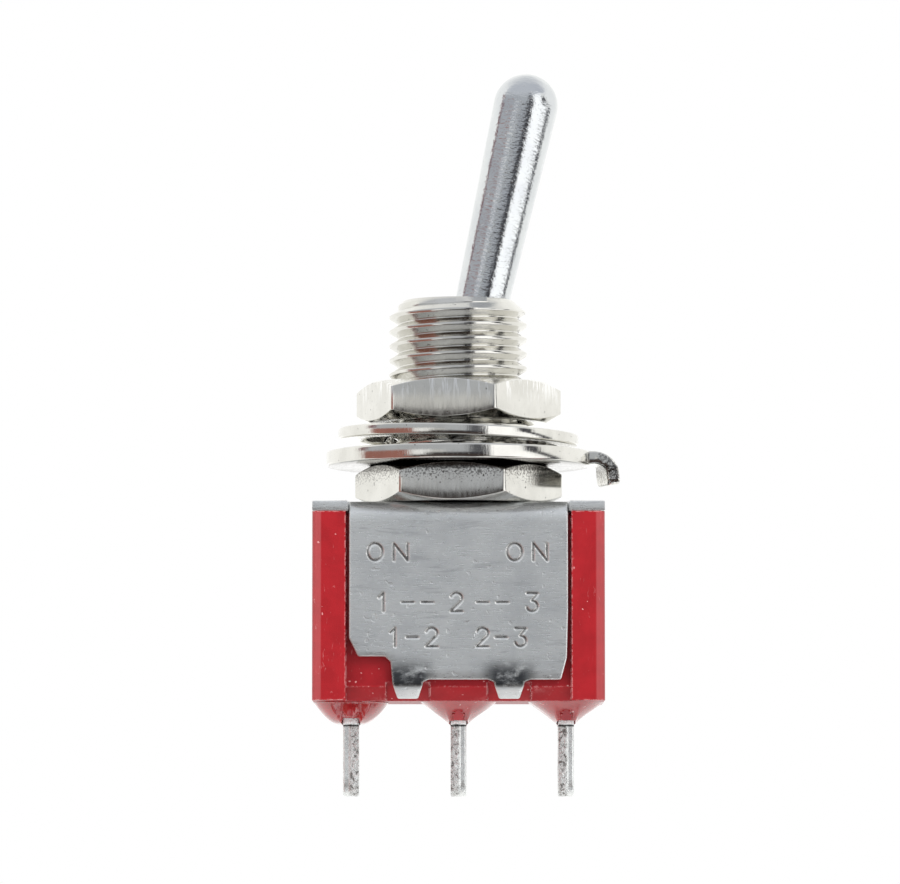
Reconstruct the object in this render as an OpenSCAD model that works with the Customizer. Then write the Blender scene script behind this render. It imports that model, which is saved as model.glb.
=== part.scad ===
// Miniature single-pole changeover toggle switch with its panel hardware. Millimetres.
// +Z runs up the bushing, +X towards the side the lever is thrown to, and -Y is the front.
// The origin is on the bushing's axis, in the plane of the upper nut's top face.

/* [Case] */
// Length of the case along X
case_len = 12.70; // [12.4:0.05:14]
// Depth of the case over the frame's side plates
case_depth = 6.86; // [6.6:0.05:8]
// Height of the case under the frame's top plate
case_h = 8.21; // [8.0:0.05:10]
// Thickness of the end walls
end_wall = 1.00; // [0.8:0.05:1.2]
// Thickness of the side walls behind the frame's plates
side_wall = 0.70; // [0.5:0.05:0.9]
// Thickness of the floor that holds the terminals
floor_t = 2.46; // [2.2:0.05:2.8]
// Height of the sloped ledge at the foot of each side
ledge_h = 0.60; // [0.4:0.05:0.8]
// Radius on the case's upright corners
corner_r = 0.25; // [0.1:0.05:0.4]
// Depth of the pockets that the crimp tabs are bent into
pocket_depth = 0.20; // [0.15:0.01:0.25]
// Clearance on each side of a crimp tab in its pocket
pocket_side = 0.27; // [0.15:0.01:0.3]

/* [Frame] */
// Thickness of the frame's sheet
sheet_t = 0.45; // [0.35:0.05:0.5]
// Width of the folded side plates
plate_w = 9.50; // [9.2:0.05:9.7]
// Outer radius of the fold along the top
fold_r = 0.80; // [0.6:0.05:1.0]
// Height of the side plates from the top of the frame to their lower edge
plate_h = 7.76; // [7.5:0.05:7.9]
// Height of the side plates at their stepped corner
step_h = 6.76; // [6.2:0.05:7.0]
// Length of the stepped edge
step_w = 1.80; // [1.7:0.01:1.85]
// Width of the bevel at the end of the step
step_bevel_w = 0.39; // [0.3:0.01:0.5]
// Height of the bevel at the end of the step
step_bevel_h = 0.80; // [0.6:0.05:1.0]
// Width of the cut on the plates' plain corner
cut_w = 0.30; // [0.2:0.01:0.4]
// Height of the cut on the plates' plain corner
cut_h = 0.95; // [0.8:0.05:1.2]
// Width of the fillet beside a crimp tab
tab_fillet = 0.24; // [0.15:0.01:0.3]
// Height of the fillet beside a crimp tab
tab_drop = 0.10; // [0.05:0.01:0.15]
// Distance of each crimp tab from the middle
tab_x = 2.20; // [2.0:0.05:2.4]
// Width of a crimp tab at its root
tab_root_w = 1.36; // [1.2:0.05:1.5]
// Width of a crimp tab at its end
tab_end_w = 0.90; // [0.7:0.05:1.1]
// Height of a crimp tab's end above the case's foot
tab_lift = 0.05; // [0.03:0.01:0.1]
// Gap between the folded sheet and the case
frame_gap = 0.03; // [0.02:0.01:0.05]
// Gap beside each side plate, up to the case's upright
plate_gap = 0.15; // [0.03:0.01:0.2]
// Width of the slits that part the end flaps from the folds
slit_w = 0.06; // [0.04:0.01:0.1]
// Straight stretch left between a pocket's edge and the bend of its tab
bend_lead = 0.05; // [0.03:0.01:0.08]

/* [Bushing] */
// Outer radius of the thread
thread_r = 3.05; // [3.0:0.01:3.12]
// Pitch of the thread, forty to the inch
thread_pitch = 0.635; // [0.6:0.005:0.65]
// Depth of the thread
thread_depth = 0.39; // [0.3:0.01:0.4]
// Width of the flat on a thread crest
crest_w = 0.15; // [0.13:0.01:0.18]
// Width of the flat in a thread root
root_w = 0.035; // [0.03:0.005:0.05]
// Height of the bushing above the frame
bushing_h = 9.00; // [8.8:0.05:10.5]
// Height of the lead-in bevel at the top
lead_h = 0.55; // [0.4:0.05:0.7]
// Width of the flat rim around the mouth
rim_w = 0.12; // [0.08:0.01:0.2]
// Radius of the mouth that the lever leans against
mouth_r = 2.30; // [2.27:0.01:2.35]
// Radius of the neck above the ball
neck_r = 1.65; // [1.6:0.01:1.75]
// Outer radius of the spigot that passes through the frame
spigot_r = 2.50; // [2.46:0.01:2.54]
// Inner radius of the spigot
spigot_bore_r = 2.34; // [2.32:0.01:2.36]
// Outer radius of the lip rolled over under the frame
lip_r = 2.63; // [2.58:0.01:2.63]
// Thickness of the lip rolled over under the frame
lip_t = 0.25; // [0.2:0.01:0.3]
// Width of the keyway along the thread
keyway_w = 1.00; // [0.9:0.05:1.1]
// Radius of the keyway's floor
keyway_r = 2.62; // [2.6:0.01:2.7]

/* [Lever] */
// Height of the lever's pivot above the frame
pivot_h = 4.25; // [4.1:0.05:4.3]
// Lean of the lever to each side, in degrees
throw = 12.5; // [11:0.1:12.5]
// Distance from the pivot to the centre of the round tip
lever_reach = 13.75; // [10:0.05:16]
// Radius of the lever's tip
tip_r = 1.42; // [1.2:0.01:1.5]
// Radius of the tapered bat where it would meet the pivot
bat_root_r = 1.05; // [0.95:0.01:1.08]
// Radius of the pivot ball
ball_r = 2.00; // [1.95:0.01:2.05]
// Running gap around the ball
ball_gap = 0.05; // [0.03:0.01:0.08]
// Length of the hollow tail below the pivot
tail_l = 6.10; // [5.9:0.05:6.2]
// Outer radius of the tail
tail_r = 1.15; // [1.1:0.01:1.18]
// Radius of the bore in the tail
tail_bore_r = 0.85; // [0.8:0.01:0.88]
// Radius of the cross pin
pin_r = 0.40; // [0.3:0.01:0.42]
// Half the length of the cross pin
pin_half = 2.30; // [2.2:0.01:2.34]
// Space past each end of the cross pin
pin_end_gap = 0.15; // [0.1:0.01:0.18]
// Gap of a pressed or moulded joint
press_gap = 0.01; // [0.01:0.005:0.02]
// Gap of a running or sliding joint
run_gap = 0.05; // [0.04:0.005:0.06]

/* [Plunger and spring] */
// Distance from the pivot to the centre of the plunger's round nose
nose_reach = 7.27; // [7.2:0.01:7.3]
// Radius of the plunger's nose
nose_r = 0.60; // [0.55:0.01:0.65]
// Length of the cone between the nose and the shank
cone_l = 0.45; // [0.4:0.01:0.5]
// Length of the plunger's guided shank
shank_l = 3.10; // [2.8:0.05:3.3]
// Radius of the spigot inside the spring
spring_spigot_r = 0.42; // [0.38:0.01:0.44]
// Length of the spigot inside the spring
spring_spigot_l = 0.60; // [0.5:0.05:0.7]
// Wall left between the spring's seat and the cross pin
seat_wall = 0.30; // [0.25:0.01:0.35]
// Diameter of the spring's wire
wire_d = 0.20; // [0.16:0.01:0.22]
// Number of turns of the spring
spring_turns = 7; // [5:1:8]

/* [Rocker] */
// Distance from the lever's pivot down to the rocker's fulcrum
fulcrum_drop = 8.85; // [8.83:0.01:8.9]
// Tilt of the rocker to each side, in degrees
rocker_tilt = 10; // [9:0.5:10.5]
// Rise of the rocker's wings, in degrees
wing_rise = 17; // [16:0.25:17.5]
// Thickness of the rocker's strip
strip_t = 0.35; // [0.3:0.01:0.36]
// Width of the rocker's strip
strip_w = 3.00; // [2.9:0.05:3.2]
// Length of each wing along the case
wing_l = 4.40; // [4.2:0.05:4.5]
// Radius of the trunnion that the rocker swings on
trunnion_r = 0.35; // [0.3:0.01:0.36]
// Distance from the middle of the rocker to its contact
button_x = 3.90; // [3.7:0.05:4.0]
// Radius of a contact button
button_r = 0.70; // [0.6:0.01:0.75]
// Radius of the dome on a rocker contact
dome_r = 1.20; // [1.0:0.05:1.5]
// Height of the straight rim on a rocker contact
button_h = 0.10; // [0.08:0.01:0.12]
// Height of a fixed contact above its terminal
contact_h = 0.30; // [0.2:0.01:0.4]
// Margin of a fixed contact around the rocker's
contact_rim = 0.10; // [0.05:0.01:0.12]
// Thickness of the ears that guide the rocker on its trunnion
ear_t = 0.30; // [0.25:0.01:0.35]
// Width of an ear on each side of the trunnion
ear_wall = 0.35; // [0.3:0.01:0.4]
// Reach of the ears below the middle of the trunnion
ear_drop = 0.25; // [0.2:0.01:0.3]
// Widening of the ears where they join the strip
ear_flare = 0.20; // [0.1:0.01:0.25]

/* [Terminals] */
// Spacing of the terminals
terminal_pitch = 4.70; // [4.6:0.01:4.75]
// Thickness of a terminal
terminal_t = 0.68; // [0.6:0.01:0.7]
// Width of a terminal
terminal_w = 2.00; // [1.8:0.05:2.1]
// Length of a terminal below the case
terminal_l = 4.10; // [3.8:0.05:8]
// Radius of the solder hole
lug_hole_r = 0.50; // [0.4:0.01:0.55]
// Distance from a terminal's end to its solder hole
lug_hole_up = 1.35; // [1.2:0.05:1.5]
// Radius on a terminal's lower corners
lug_corner_r = 0.70; // [0.3:0.05:0.8]
// Height of the shoulder that locks a terminal in the floor
shoulder_h = 0.80; // [0.6:0.05:0.9]
// Amount that the shoulder stands out on each side
shoulder_out = 0.30; // [0.2:0.05:0.35]
// Length of a seal's base along the case
seal_len = 3.28; // [2.8:0.05:3.5]
// Depth of a seal's base
seal_depth = 4.60; // [4.0:0.05:5.2]
// Height of a seal
seal_h = 0.96; // [0.7:0.02:1.2]
// Rim left around a terminal at the tip of its seal
seal_rim = 0.07; // [0.05:0.01:0.15]
// Height of a bent end of a terminal, which carries a fixed contact
head_h = 0.60; // [0.55:0.01:0.65]
// Outer radius of the bend in an end terminal
head_bend_r = 0.50; // [0.4:0.01:0.55]
// Inner radius of the bend in an end terminal
head_fillet_r = 0.20; // [0.1:0.01:0.25]
// Room left for an end terminal's upper part and its contact beyond their outer faces
head_gap = 0.25; // [0.1:0.05:0.3]

/* [Nuts and washers] */
// Width of a nut across its flats
nut_af = 7.94; // [7.6:0.02:8.4]
// Thickness of the upper nut
upper_nut_t = 1.75; // [1.6:0.05:2.0]
// Thickness of the lower nut
lower_nut_t = 1.70; // [1.5:0.05:2.0]
// Slope of the nuts' corner bevels, in degrees
bevel_angle = 28; // [20:1:32]
// Gap between a nut's bore and the thread
nut_gap = 0.05; // [0.03:0.01:0.1]
// Depth of the countersink at each end of a nut's bore
countersink = 0.25; // [0.15:0.01:0.3]
// Margin from a nut's flats in to the edge of its flat face
face_margin = 0.10; // [0.05:0.01:0.2]
// Turn of the upper nut from square, in degrees
upper_nut_turn = -9.7; // [-30:0.1:30]
// Turn of the lower nut from square, in degrees
lower_nut_turn = -4.0; // [-30:0.1:30]
// Space left for the lock washer between the upper nut and the locating washer
washer_space = 1.25; // [1.2:0.05:1.6]
// Outer radius of the lock washer
lock_r = 5.28; // [5.0:0.02:5.5]
// Inner radius of the lock washer's solid rim
lock_rim_r = 4.25; // [4.15:0.05:4.4]
// Thickness of the lock washer
lock_t = 0.50; // [0.4:0.02:0.5]
// Number of teeth on the lock washer
lock_teeth = 10; // [8:1:11]
// Width of a tooth
tooth_w = 1.00; // [0.8:0.05:1.1]
// Twist of a tooth, in degrees
tooth_twist = 15; // [10:0.5:15]
// Length of a tooth's root inside the solid rim
tooth_root = 0.15; // [0.1:0.01:0.3]
// Distance of a tooth's tip from the edge of the bore
tooth_relief = 0.05; // [0.03:0.01:0.1]
// Lean of the loose lock washer, in degrees
lock_lean = 1.7; // [0:0.1:1.7]
// Outer radius of the locating washer
locating_r = 5.80; // [5.4:0.02:6.0]
// Thickness of the locating washer
locating_t = 0.65; // [0.5:0.02:0.7]
// Gap around the thread inside both washers
washer_gap = 0.15; // [0.12:0.01:0.2]
// Width of the locating tab
locating_tab_w = 1.60; // [1.2:0.05:2.0]
// Thickness of the locating tab
locating_tab_t = 0.55; // [0.45:0.01:0.6]
// Outer radius of the locating tab's bend
locating_bend_r = 0.90; // [0.8:0.05:1.1]
// Reach of the locating tab's end below the washer's top face
locating_tab_drop = 1.65; // [1.5:0.05:1.9]
// Outward lean of the locating tab, in degrees
locating_lean = 7; // [3:1:15]
// Overhang of the locating tab before its bend
locating_overhang = 0.12; // [0.1:0.01:0.25]
// Clearance of the locating washer's tongue in the keyway
tongue_gap = 0.09; // [0.05:0.01:0.1]

/* [Hidden] */
$fn = 64;
eps = 0.01;
big = 40;

// Levels, from the upper nut's top face down
locating_z = -upper_nut_t - washer_space;
frame_z = locating_z - locating_t - lower_nut_t;
case_z = frame_z - sheet_t;
base_z = case_z - case_h;
bushing_z = frame_z + bushing_h;
pivot_z = frame_z + pivot_h;
fulcrum_z = pivot_z - fulcrum_drop;
lip_z = case_z - lip_t;
floor_z = base_z + floor_t;
lug_z = base_z - terminal_l;

// Overlaps inside the locating washer, and the nip at the end of its tab
tongue_root = 0.20;
tab_root = 0.40;
locating_lip = 0.15;

// Plan sizes of the case
recess_y = case_depth / 2 - sheet_t - frame_gap;
recess_half = plate_w / 2 + plate_gap;
cavity_x = case_len / 2 - end_wall;
cavity_y = recess_y - side_wall;
pocket_w = tab_root_w + 2 * pocket_side;

// Slow taper above the cut corner of a side plate
cut_edge = 0.05;
cut_run = 1.95;

// Thread and bore of the bushing
root_r = thread_r - thread_depth;
flank_w = (thread_pitch - crest_w - root_w) / 2;
crest_base_z = 0.02;
relief_w = 0.62;
crest_top_z = bushing_z - lead_h - crest_w;
crests = floor((crest_top_z - crest_base_z) / thread_pitch) + 1;
rim_r = mouth_r + rim_w;
ball_bore_r = ball_r + ball_gap;
shoulder_z = ball_bore_r * sqrt(2);

// Ends of the spring, measured down the lever from its pivot
spring_seat = pin_r + seat_wall;
shank_top = nose_reach - cone_l - shank_l;

// Contact geometry, worked out in the rocker's own frame and then tilted
strip_low = (trunnion_r + run_gap) / cos(wing_rise);
strip_high = (trunnion_r + run_gap + strip_t) / cos(wing_rise);
dome_h = dome_r - sqrt(pow(dome_r, 2) - pow(button_r, 2));
dome_in = dome_r - dome_h - button_h;
dome_x = button_x - dome_in * sin(wing_rise);
dome_z = strip_low + button_x * tan(wing_rise) + dome_in * cos(wing_rise);
contact_x = dome_x * cos(rocker_tilt) + dome_z * sin(rocker_tilt);
contact_z = fulcrum_z - dome_x * sin(rocker_tilt) + dome_z * cos(rocker_tilt) - dome_r - run_gap;
head_z = contact_z - contact_h;
contact_r = button_r + contact_rim;
head_x = max(terminal_pitch + terminal_t / 2, contact_x + contact_r) + head_gap;

// Points of an arc about [cx, cz] from angle a to angle b
function arc(cx, cz, r, a, b, n = 8) =
    [for (i = [0 : n]) [cx + r * cos(a + (b - a) * i / n), cz + r * sin(a + (b - a) * i / n)]];

// A profile in X and Z, extruded along Y to both sides of the middle
module across(width) {
    rotate([90, 0, 0]) linear_extrude(width, center = true) children();
}

// A profile in Y and Z, extruded along X to both sides of the middle
module along(length) {
    rotate([90, 0, 90]) linear_extrude(length, center = true) children();
}

// A rounded bar upright on its base, centred on the axis
module upright_block(length, depth, height, r) {
    linear_extrude(height) union() {
        square([length - 2 * r, depth], center = true);
        square([length, depth - 2 * r], center = true);
        for (x = [-1, 1], y = [-1, 1])
            translate([x * (length / 2 - r), y * (depth / 2 - r)]) circle(r);
    }
}

// Case

// Wedge cut from the foot of the front side, which leaves the ledge's slope
module ledge_cut(width, depth) {
    out = case_depth / 2 + 1;
    rise = ledge_h + depth;
    along(width) polygon([[-out, rise], [-out, -1], [-recess_y + rise, -1], [-recess_y + rise, 0],
        [-recess_y, rise]]);
}

// Waste outside the rounded upper edge of a side wall, which lies inside the frame's fold
module edge_cut() {
    r = fold_r - sheet_t - frame_gap;
    along(2 * recess_half) difference() {
        translate([-recess_y - 1, -r - frame_gap]) square([1 + r, r + 1]);
        translate([-recess_y + r, -r - frame_gap]) circle(r);
    }
}

module case() {
    color("firebrick") difference() {
        translate([0, 0, base_z]) upright_block(case_len, case_depth, case_h, corner_r);
        // Cavity of the contacts
        translate([-cavity_x, -cavity_y, floor_z]) cube([2 * cavity_x, 2 * cavity_y, case_h]);
        translate([-head_x, -cavity_y, floor_z]) cube([2 * head_x, 2 * cavity_y, case_h]);
        // Relief of the bushing's lip
        translate([0, 0, lip_z - frame_gap]) cylinder(h = case_h, r = lip_r + frame_gap);
        // Recesses of the frame's side plates, with sloped ledges and pockets for the crimp tabs
        for (turn = [0, 180]) rotate([0, 0, turn]) {
            translate([-recess_half, -case_depth, base_z + ledge_h - eps])
                cube([2 * recess_half, case_depth - recess_y, case_h]);
            translate([0, 0, base_z]) ledge_cut(2 * recess_half, 0);
            for (x = [-tab_x, tab_x]) translate([x, 0, base_z]) ledge_cut(pocket_w, pocket_depth);
            translate([0, 0, case_z]) edge_cut();
        }
        // Slots moulded around the terminals
        for (x = [-1, 0, 1]) translate([x * terminal_pitch, 0, 0]) terminal_blade(press_gap, floor_z + 1);
    }
}

// Frame

// Side plate in X and Z from the frame's top: a rectangle less the waste around its step, its
// plain corner and its two crimp tabs
module plate_outline() {
    half = plate_w / 2;
    foot = case_h + sheet_t;
    root = tab_root_w / 2;
    end = tab_end_w / 2;
    root_z = -plate_h - tab_drop;
    end_z = tab_lift - foot;
    waste_z = -foot - 1;
    corner_z = -plate_h + cut_h;
    difference() {
        translate([-half, -foot]) square([plate_w, foot]);
        polygon([[-half - 1, step_bevel_h - step_h], [-half - eps, step_bevel_h - step_h],
            [-half + step_bevel_w, -step_h], [-half + step_w - tab_fillet, -step_h],
            [-half + step_w, -step_h - tab_fillet], [-tab_x - root, root_z], [-tab_x - end, end_z],
            [-tab_x - end, waste_z], [-half - 1, waste_z]]);
        polygon([[-tab_x + end, waste_z], [-tab_x + end, end_z], [-tab_x + root, root_z],
            [-tab_x + root + tab_fillet, -plate_h], [tab_x - root - tab_fillet, -plate_h],
            [tab_x - root, root_z], [tab_x - end, end_z], [tab_x - end, waste_z]]);
        polygon([[tab_x + end, waste_z], [tab_x + end, end_z], [tab_x + root, root_z],
            [tab_x + root + tab_fillet, -plate_h],
            [half - cut_w, -plate_h], [half - cut_edge, corner_z], [half + eps, corner_z + cut_run],
            [half + 1, waste_z]]);
    }
}

// Section of the folded sheet in Y and Z from the frame's top, front half
module sheet_section() {
    out = case_depth / 2;
    inner = fold_r - sheet_t;
    bend_z = -case_h - sheet_t + ledge_h + pocket_depth - bend_lead;
    // Sheet thickness across the tab's slope of 45 degrees, and the drop left for the slope
    across_t = sheet_t * sin(45);
    drop = case_h + sheet_t - tab_lift + bend_z - across_t;
    polygon(concat([[0, 0]],
        arc(-out + fold_r, -fold_r, fold_r, 90, 180),
        arc(-out + sheet_t, bend_z, sheet_t, 180, 225, 4),
        [[-out + sheet_t - across_t + drop, bend_z - across_t - drop],
            [-out + sheet_t + drop, bend_z - drop], [-out + sheet_t, bend_z]],
        arc(-out + fold_r, -fold_r, inner, 180, 90), [[0, -sheet_t]]));
}

module frame() {
    top_y = case_depth - 2 * fold_r;
    flap = (case_len - plate_w) / 2 - slit_w;
    color("silver") difference() {
        translate([0, 0, frame_z]) union() {
            translate([-case_len / 2, -top_y / 2, -sheet_t]) cube([case_len, top_y, sheet_t]);
            for (x = [-case_len / 2, case_len / 2 - flap])
                translate([x, -case_depth / 2, -sheet_t]) cube([flap, case_depth, sheet_t]);
            for (turn = [0, 180]) rotate([0, 0, turn]) intersection() {
                along(plate_w) sheet_section();
                translate([0, -case_depth / 4, 0]) across(case_depth / 2) plate_outline();
            }
        }
        cylinder(h = big, r = spigot_r + press_gap, center = true);
    }
}

// Bushing

module bushing() {
    color("gainsboro") difference() {
        rotate_extrude() polygon(concat(
            [[spigot_bore_r, lip_z], [lip_r, lip_z], [lip_r, case_z], [spigot_r, case_z],
                [spigot_r, frame_z], [thread_r, frame_z], [thread_r, crest_base_z - relief_w],
                [root_r, crest_base_z - relief_w + flank_w], [root_r, crest_base_z - flank_w]],
            // Crests of the free stretch of thread
            [for (i = [0 : crests - 1], p = [[thread_r, 0], [thread_r, crest_w],
                    [root_r, crest_w + flank_w], [root_r, thread_pitch - flank_w]])
                if (i < crests - 1 || p[1] < thread_pitch - flank_w)
                    [p[0], crest_base_z + i * thread_pitch + p[1]]],
            [[root_r, bushing_z - lead_h * (root_r - rim_r) / (thread_r - rim_r)], [rim_r, bushing_z],
                [mouth_r, bushing_z], [neck_r, pivot_z + shoulder_z - neck_r],
                [ball_bore_r, pivot_z + shoulder_z - ball_bore_r], [ball_bore_r, pivot_z - ball_r / 2]]));
        // Keyway on the lever's side
        translate([keyway_r, -keyway_w / 2, frame_z]) cube([thread_r, keyway_w, big]);
        // Slots that the cross pin is pushed up into
        translate([0, 0, pivot_z]) rotate([90, 0, 0])
            cylinder(h = 2 * (pin_half + pin_end_gap), r = pin_r + run_gap, center = true);
        translate([-pin_r - run_gap, -pin_half - pin_end_gap, lip_z - eps])
            cube([2 * (pin_r + run_gap), 2 * (pin_half + pin_end_gap), pivot_z - lip_z + eps]);
    }
}

// Lever, upright about its own pivot
module leaning() {
    translate([0, 0, pivot_z]) rotate([0, throw, 0]) children();
}

module lever() {
    color("lightsteelblue") leaning() difference() {
        union() {
            sphere(ball_r);
            cylinder(h = lever_reach, r1 = bat_root_r, r2 = tip_r);
            translate([0, 0, lever_reach]) sphere(tip_r);
            translate([0, 0, -tail_l]) cylinder(h = tail_l, r = tail_r);
        }
        translate([0, 0, -tail_l - eps]) cylinder(h = tail_l + eps - spring_seat, r = tail_bore_r);
        rotate([90, 0, 0]) cylinder(h = 3 * ball_r, r = pin_r + press_gap, center = true);
    }
}

module pivot_pin() {
    color("silver") translate([0, 0, pivot_z]) rotate([90, 0, 0])
        cylinder(h = 2 * pin_half, r = pin_r, center = true);
}

// Plunger and spring, along the lever's own axis

module plunger() {
    shank_r = tail_bore_r - run_gap;
    color("peru") leaning() union() {
        translate([0, 0, -nose_reach]) sphere(nose_r);
        translate([0, 0, -nose_reach]) cylinder(h = cone_l, r1 = nose_r, r2 = shank_r);
        translate([0, 0, -nose_reach + cone_l]) cylinder(h = shank_l, r = shank_r);
        translate([0, 0, -shank_top]) cylinder(h = spring_spigot_l, r = spring_spigot_r);
    }
}

// A round wire swept along a helix, closed at both ends
module coil(r, wire_r, length, turns) {
    sides = 8;
    steps = 12 * turns;
    ring = [for (i = [0 : steps], k = [0 : sides - 1])
        let (a = 360 * turns * i / steps, b = 360 * k / sides, q = r + wire_r * cos(b))
            [q * cos(a), q * sin(a), length * i / steps + wire_r * sin(b)]];
    polyhedron(ring, concat(
        [[for (k = [0 : sides - 1]) k]],
        [for (i = [0 : steps - 1], k = [0 : sides - 1])
            let (n = (k + 1) % sides, o = i * sides) [o + n, o + k, o + sides + k, o + sides + n]],
        [[for (k = [sides - 1 : -1 : 0]) steps * sides + k]]));
}

module spring() {
    length = shank_top - spring_seat - wire_d - 2 * run_gap;
    color("dimgray") leaning() translate([0, 0, -shank_top + wire_d / 2 + run_gap])
        coil(tail_bore_r - wire_d / 2 - run_gap, wire_d / 2, length, spring_turns);
}

// Terminals

// Upright blade in Y and Z with its rounded foot and the shoulder inside the floor
module blade_outline(grow, top) {
    half = terminal_w / 2 + grow;
    union() {
        translate([-half, lug_z + lug_corner_r]) square([2 * half, top - lug_z - lug_corner_r]);
        translate([-half + lug_corner_r, lug_z]) square([2 * (half - lug_corner_r), lug_corner_r + eps]);
        for (y = [-1, 1]) translate([y * (half - lug_corner_r), lug_z + lug_corner_r]) circle(lug_corner_r);
        translate([-half - shoulder_out, base_z + (floor_t - shoulder_h) / 2 - grow])
            square([2 * (half + shoulder_out), shoulder_h + 2 * grow]);
    }
}

module terminal_blade(grow, top) {
    along(terminal_t + 2 * grow) blade_outline(grow, top);
}

module lug_hole() {
    translate([0, 0, lug_z + lug_hole_up]) rotate([0, 90, 0])
        cylinder(h = 2 * terminal_t, r = lug_hole_r, center = true);
}

module terminal_common() {
    color("silver") difference() {
        union() {
            terminal_blade(0, fulcrum_z);
            translate([0, 0, fulcrum_z]) rotate([90, 0, 0])
                cylinder(h = strip_w - 2 * press_gap, r = trunnion_r, center = true);
        }
        lug_hole();
    }
}

// Blade bent inwards at the top to carry its contact; side is -1 or 1
module end_terminal(side) {
    out = terminal_t / 2;
    reach = terminal_pitch - contact_x + contact_r;
    color("silver") translate([side * terminal_pitch, 0, 0]) difference() {
        union() {
            terminal_blade(0, head_z - head_h);
            mirror([side < 0 ? 0 : 1, 0, 0]) across(terminal_w) polygon(concat(
                [[-out, head_z - head_h - eps], [out, head_z - head_h - eps]],
                arc(out + head_fillet_r, head_z - terminal_t - head_fillet_r, head_fillet_r, 180, 90, 4),
                [[reach, head_z - terminal_t], [reach, head_z]],
                arc(-out + head_bend_r, head_z - head_bend_r, head_bend_r, 90, 180)));
        }
        lug_hole();
    }
}

module terminal_left() { end_terminal(-1); }
module terminal_right() { end_terminal(1); }

module fixed_contact(side) {
    color("gold") translate([side * contact_x, 0, head_z]) cylinder(h = contact_h, r = contact_r);
}

module contact_left() { fixed_contact(-1); }
module contact_right() { fixed_contact(1); }

// Resin seal heaped around a terminal: level is 0 at the case and 1 at the tip, and a fuller
// heap has a larger bulge
module seal_slice(level, bulge) {
    shrink = pow(level, bulge);
    tip_len = terminal_t + 2 * seal_rim;
    tip_depth = terminal_w + 2 * seal_rim;
    length = seal_len + (tip_len - seal_len) * shrink;
    depth = seal_depth + (tip_depth - seal_depth) * shrink;
    r = 0.30 * length;
    translate([0, 0, -seal_h * level]) mirror([0, 0, 1])
        upright_block(length, depth, eps, r, $fn = 32);
}

module seal(place, bulge) {
    steps = 4;
    color("indianred") translate([place * terminal_pitch, 0, 0]) difference() {
        translate([0, 0, base_z]) for (i = [0 : steps - 1]) hull() {
            seal_slice(i / steps, bulge);
            seal_slice((i + 1) / steps, bulge);
        }
        terminal_blade(press_gap, base_z + 1);
    }
}

module seal_left() { seal(-1, 1.5); }
module seal_common() { seal(0, 1.05); }
module seal_right() { seal(1, 1.05); }

// Rocker

module rocking() {
    translate([0, 0, fulcrum_z]) rotate([0, -rocker_tilt, 0]) children();
}

module rocker() {
    rise = tan(wing_rise) * wing_l;
    bore = trunnion_r + run_gap;
    ear_low = bore + ear_wall;
    ear_high = ear_low + ear_flare;
    color("goldenrod") rocking() difference() {
        union() {
            across(strip_w) polygon([[-wing_l, strip_low + rise], [0, strip_low],
                [wing_l, strip_low + rise], [wing_l, strip_high + rise], [0, strip_high],
                [-wing_l, strip_high + rise]]);
            for (y = [-1, 1]) translate([0, y * (strip_w - ear_t) / 2, 0]) across(ear_t)
                polygon([[-ear_low, -ear_drop], [ear_low, -ear_drop], [ear_high, strip_high],
                    [-ear_high, strip_high]]);
        }
        rotate([90, 0, 0]) cylinder(h = 2 * strip_w, r = bore, center = true);
        across(2 * strip_w) translate([-bore, -1]) square([2 * bore, 1]);
    }
}

module rocker_contact(side) {
    color("gold") rocking() translate([side * button_x, 0, strip_low + button_x * tan(wing_rise)])
        rotate([0, 180 - side * wing_rise, 0]) union() {
            cylinder(h = button_h, r = button_r);
            intersection() {
                translate([0, 0, -dome_in]) sphere(dome_r);
                translate([0, 0, button_h]) cylinder(h = dome_h + eps, r = button_r);
            }
        }
}

module rocker_contact_left() { rocker_contact(-1); }
module rocker_contact_right() { rocker_contact(1); }

// Nuts and washers

// Hexagon nut standing on the plane of its lower face, bevelled on both sides
module nut(thickness, turn) {
    corner = nut_af / 2 / cos(30);
    face_r = nut_af / 2 - face_margin;
    outside = corner + 0.2;
    drop = (outside - face_r) * tan(bevel_angle);
    bore = thread_r + nut_gap;
    color("lightgray") rotate([0, 0, turn]) difference() {
        intersection() {
            cylinder(h = thickness, r = corner, $fn = 6);
            rotate_extrude() polygon([[0, 0], [face_r, 0], [outside, drop], [outside, thickness - drop],
                [face_r, thickness], [0, thickness]]);
        }
        translate([0, 0, -eps]) cylinder(h = thickness + 2 * eps, r = bore);
        for (z = [0, thickness]) translate([0, 0, z]) rotate([z > 0 ? 180 : 0, 0, 0])
            translate([0, 0, -eps])
                cylinder(h = countersink + eps, r1 = bore + countersink + eps, r2 = bore);
    }
}

module upper_nut() {
    translate([0, 0, -upper_nut_t]) nut(upper_nut_t, upper_nut_turn);
}

module lower_nut() {
    translate([0, 0, frame_z]) nut(lower_nut_t, lower_nut_turn);
}

module lock_washer() {
    tip = thread_r + washer_gap + tooth_relief;
    color("gainsboro") translate([0, 0, locating_z + washer_space / 2]) rotate([0, lock_lean, 0]) union() {
        difference() {
            cylinder(h = lock_t, r = lock_r, center = true);
            cylinder(h = 2 * lock_t, r = lock_rim_r, center = true);
        }
        for (i = [0 : lock_teeth - 1]) rotate([0, 0, 360 * (i + 0.5) / lock_teeth])
            rotate([tooth_twist, 0, 0]) translate([tip, -tooth_w / 2, -lock_t / 2])
                cube([lock_rim_r + tooth_root - tip, tooth_w, lock_t]);
    }
}

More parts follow.
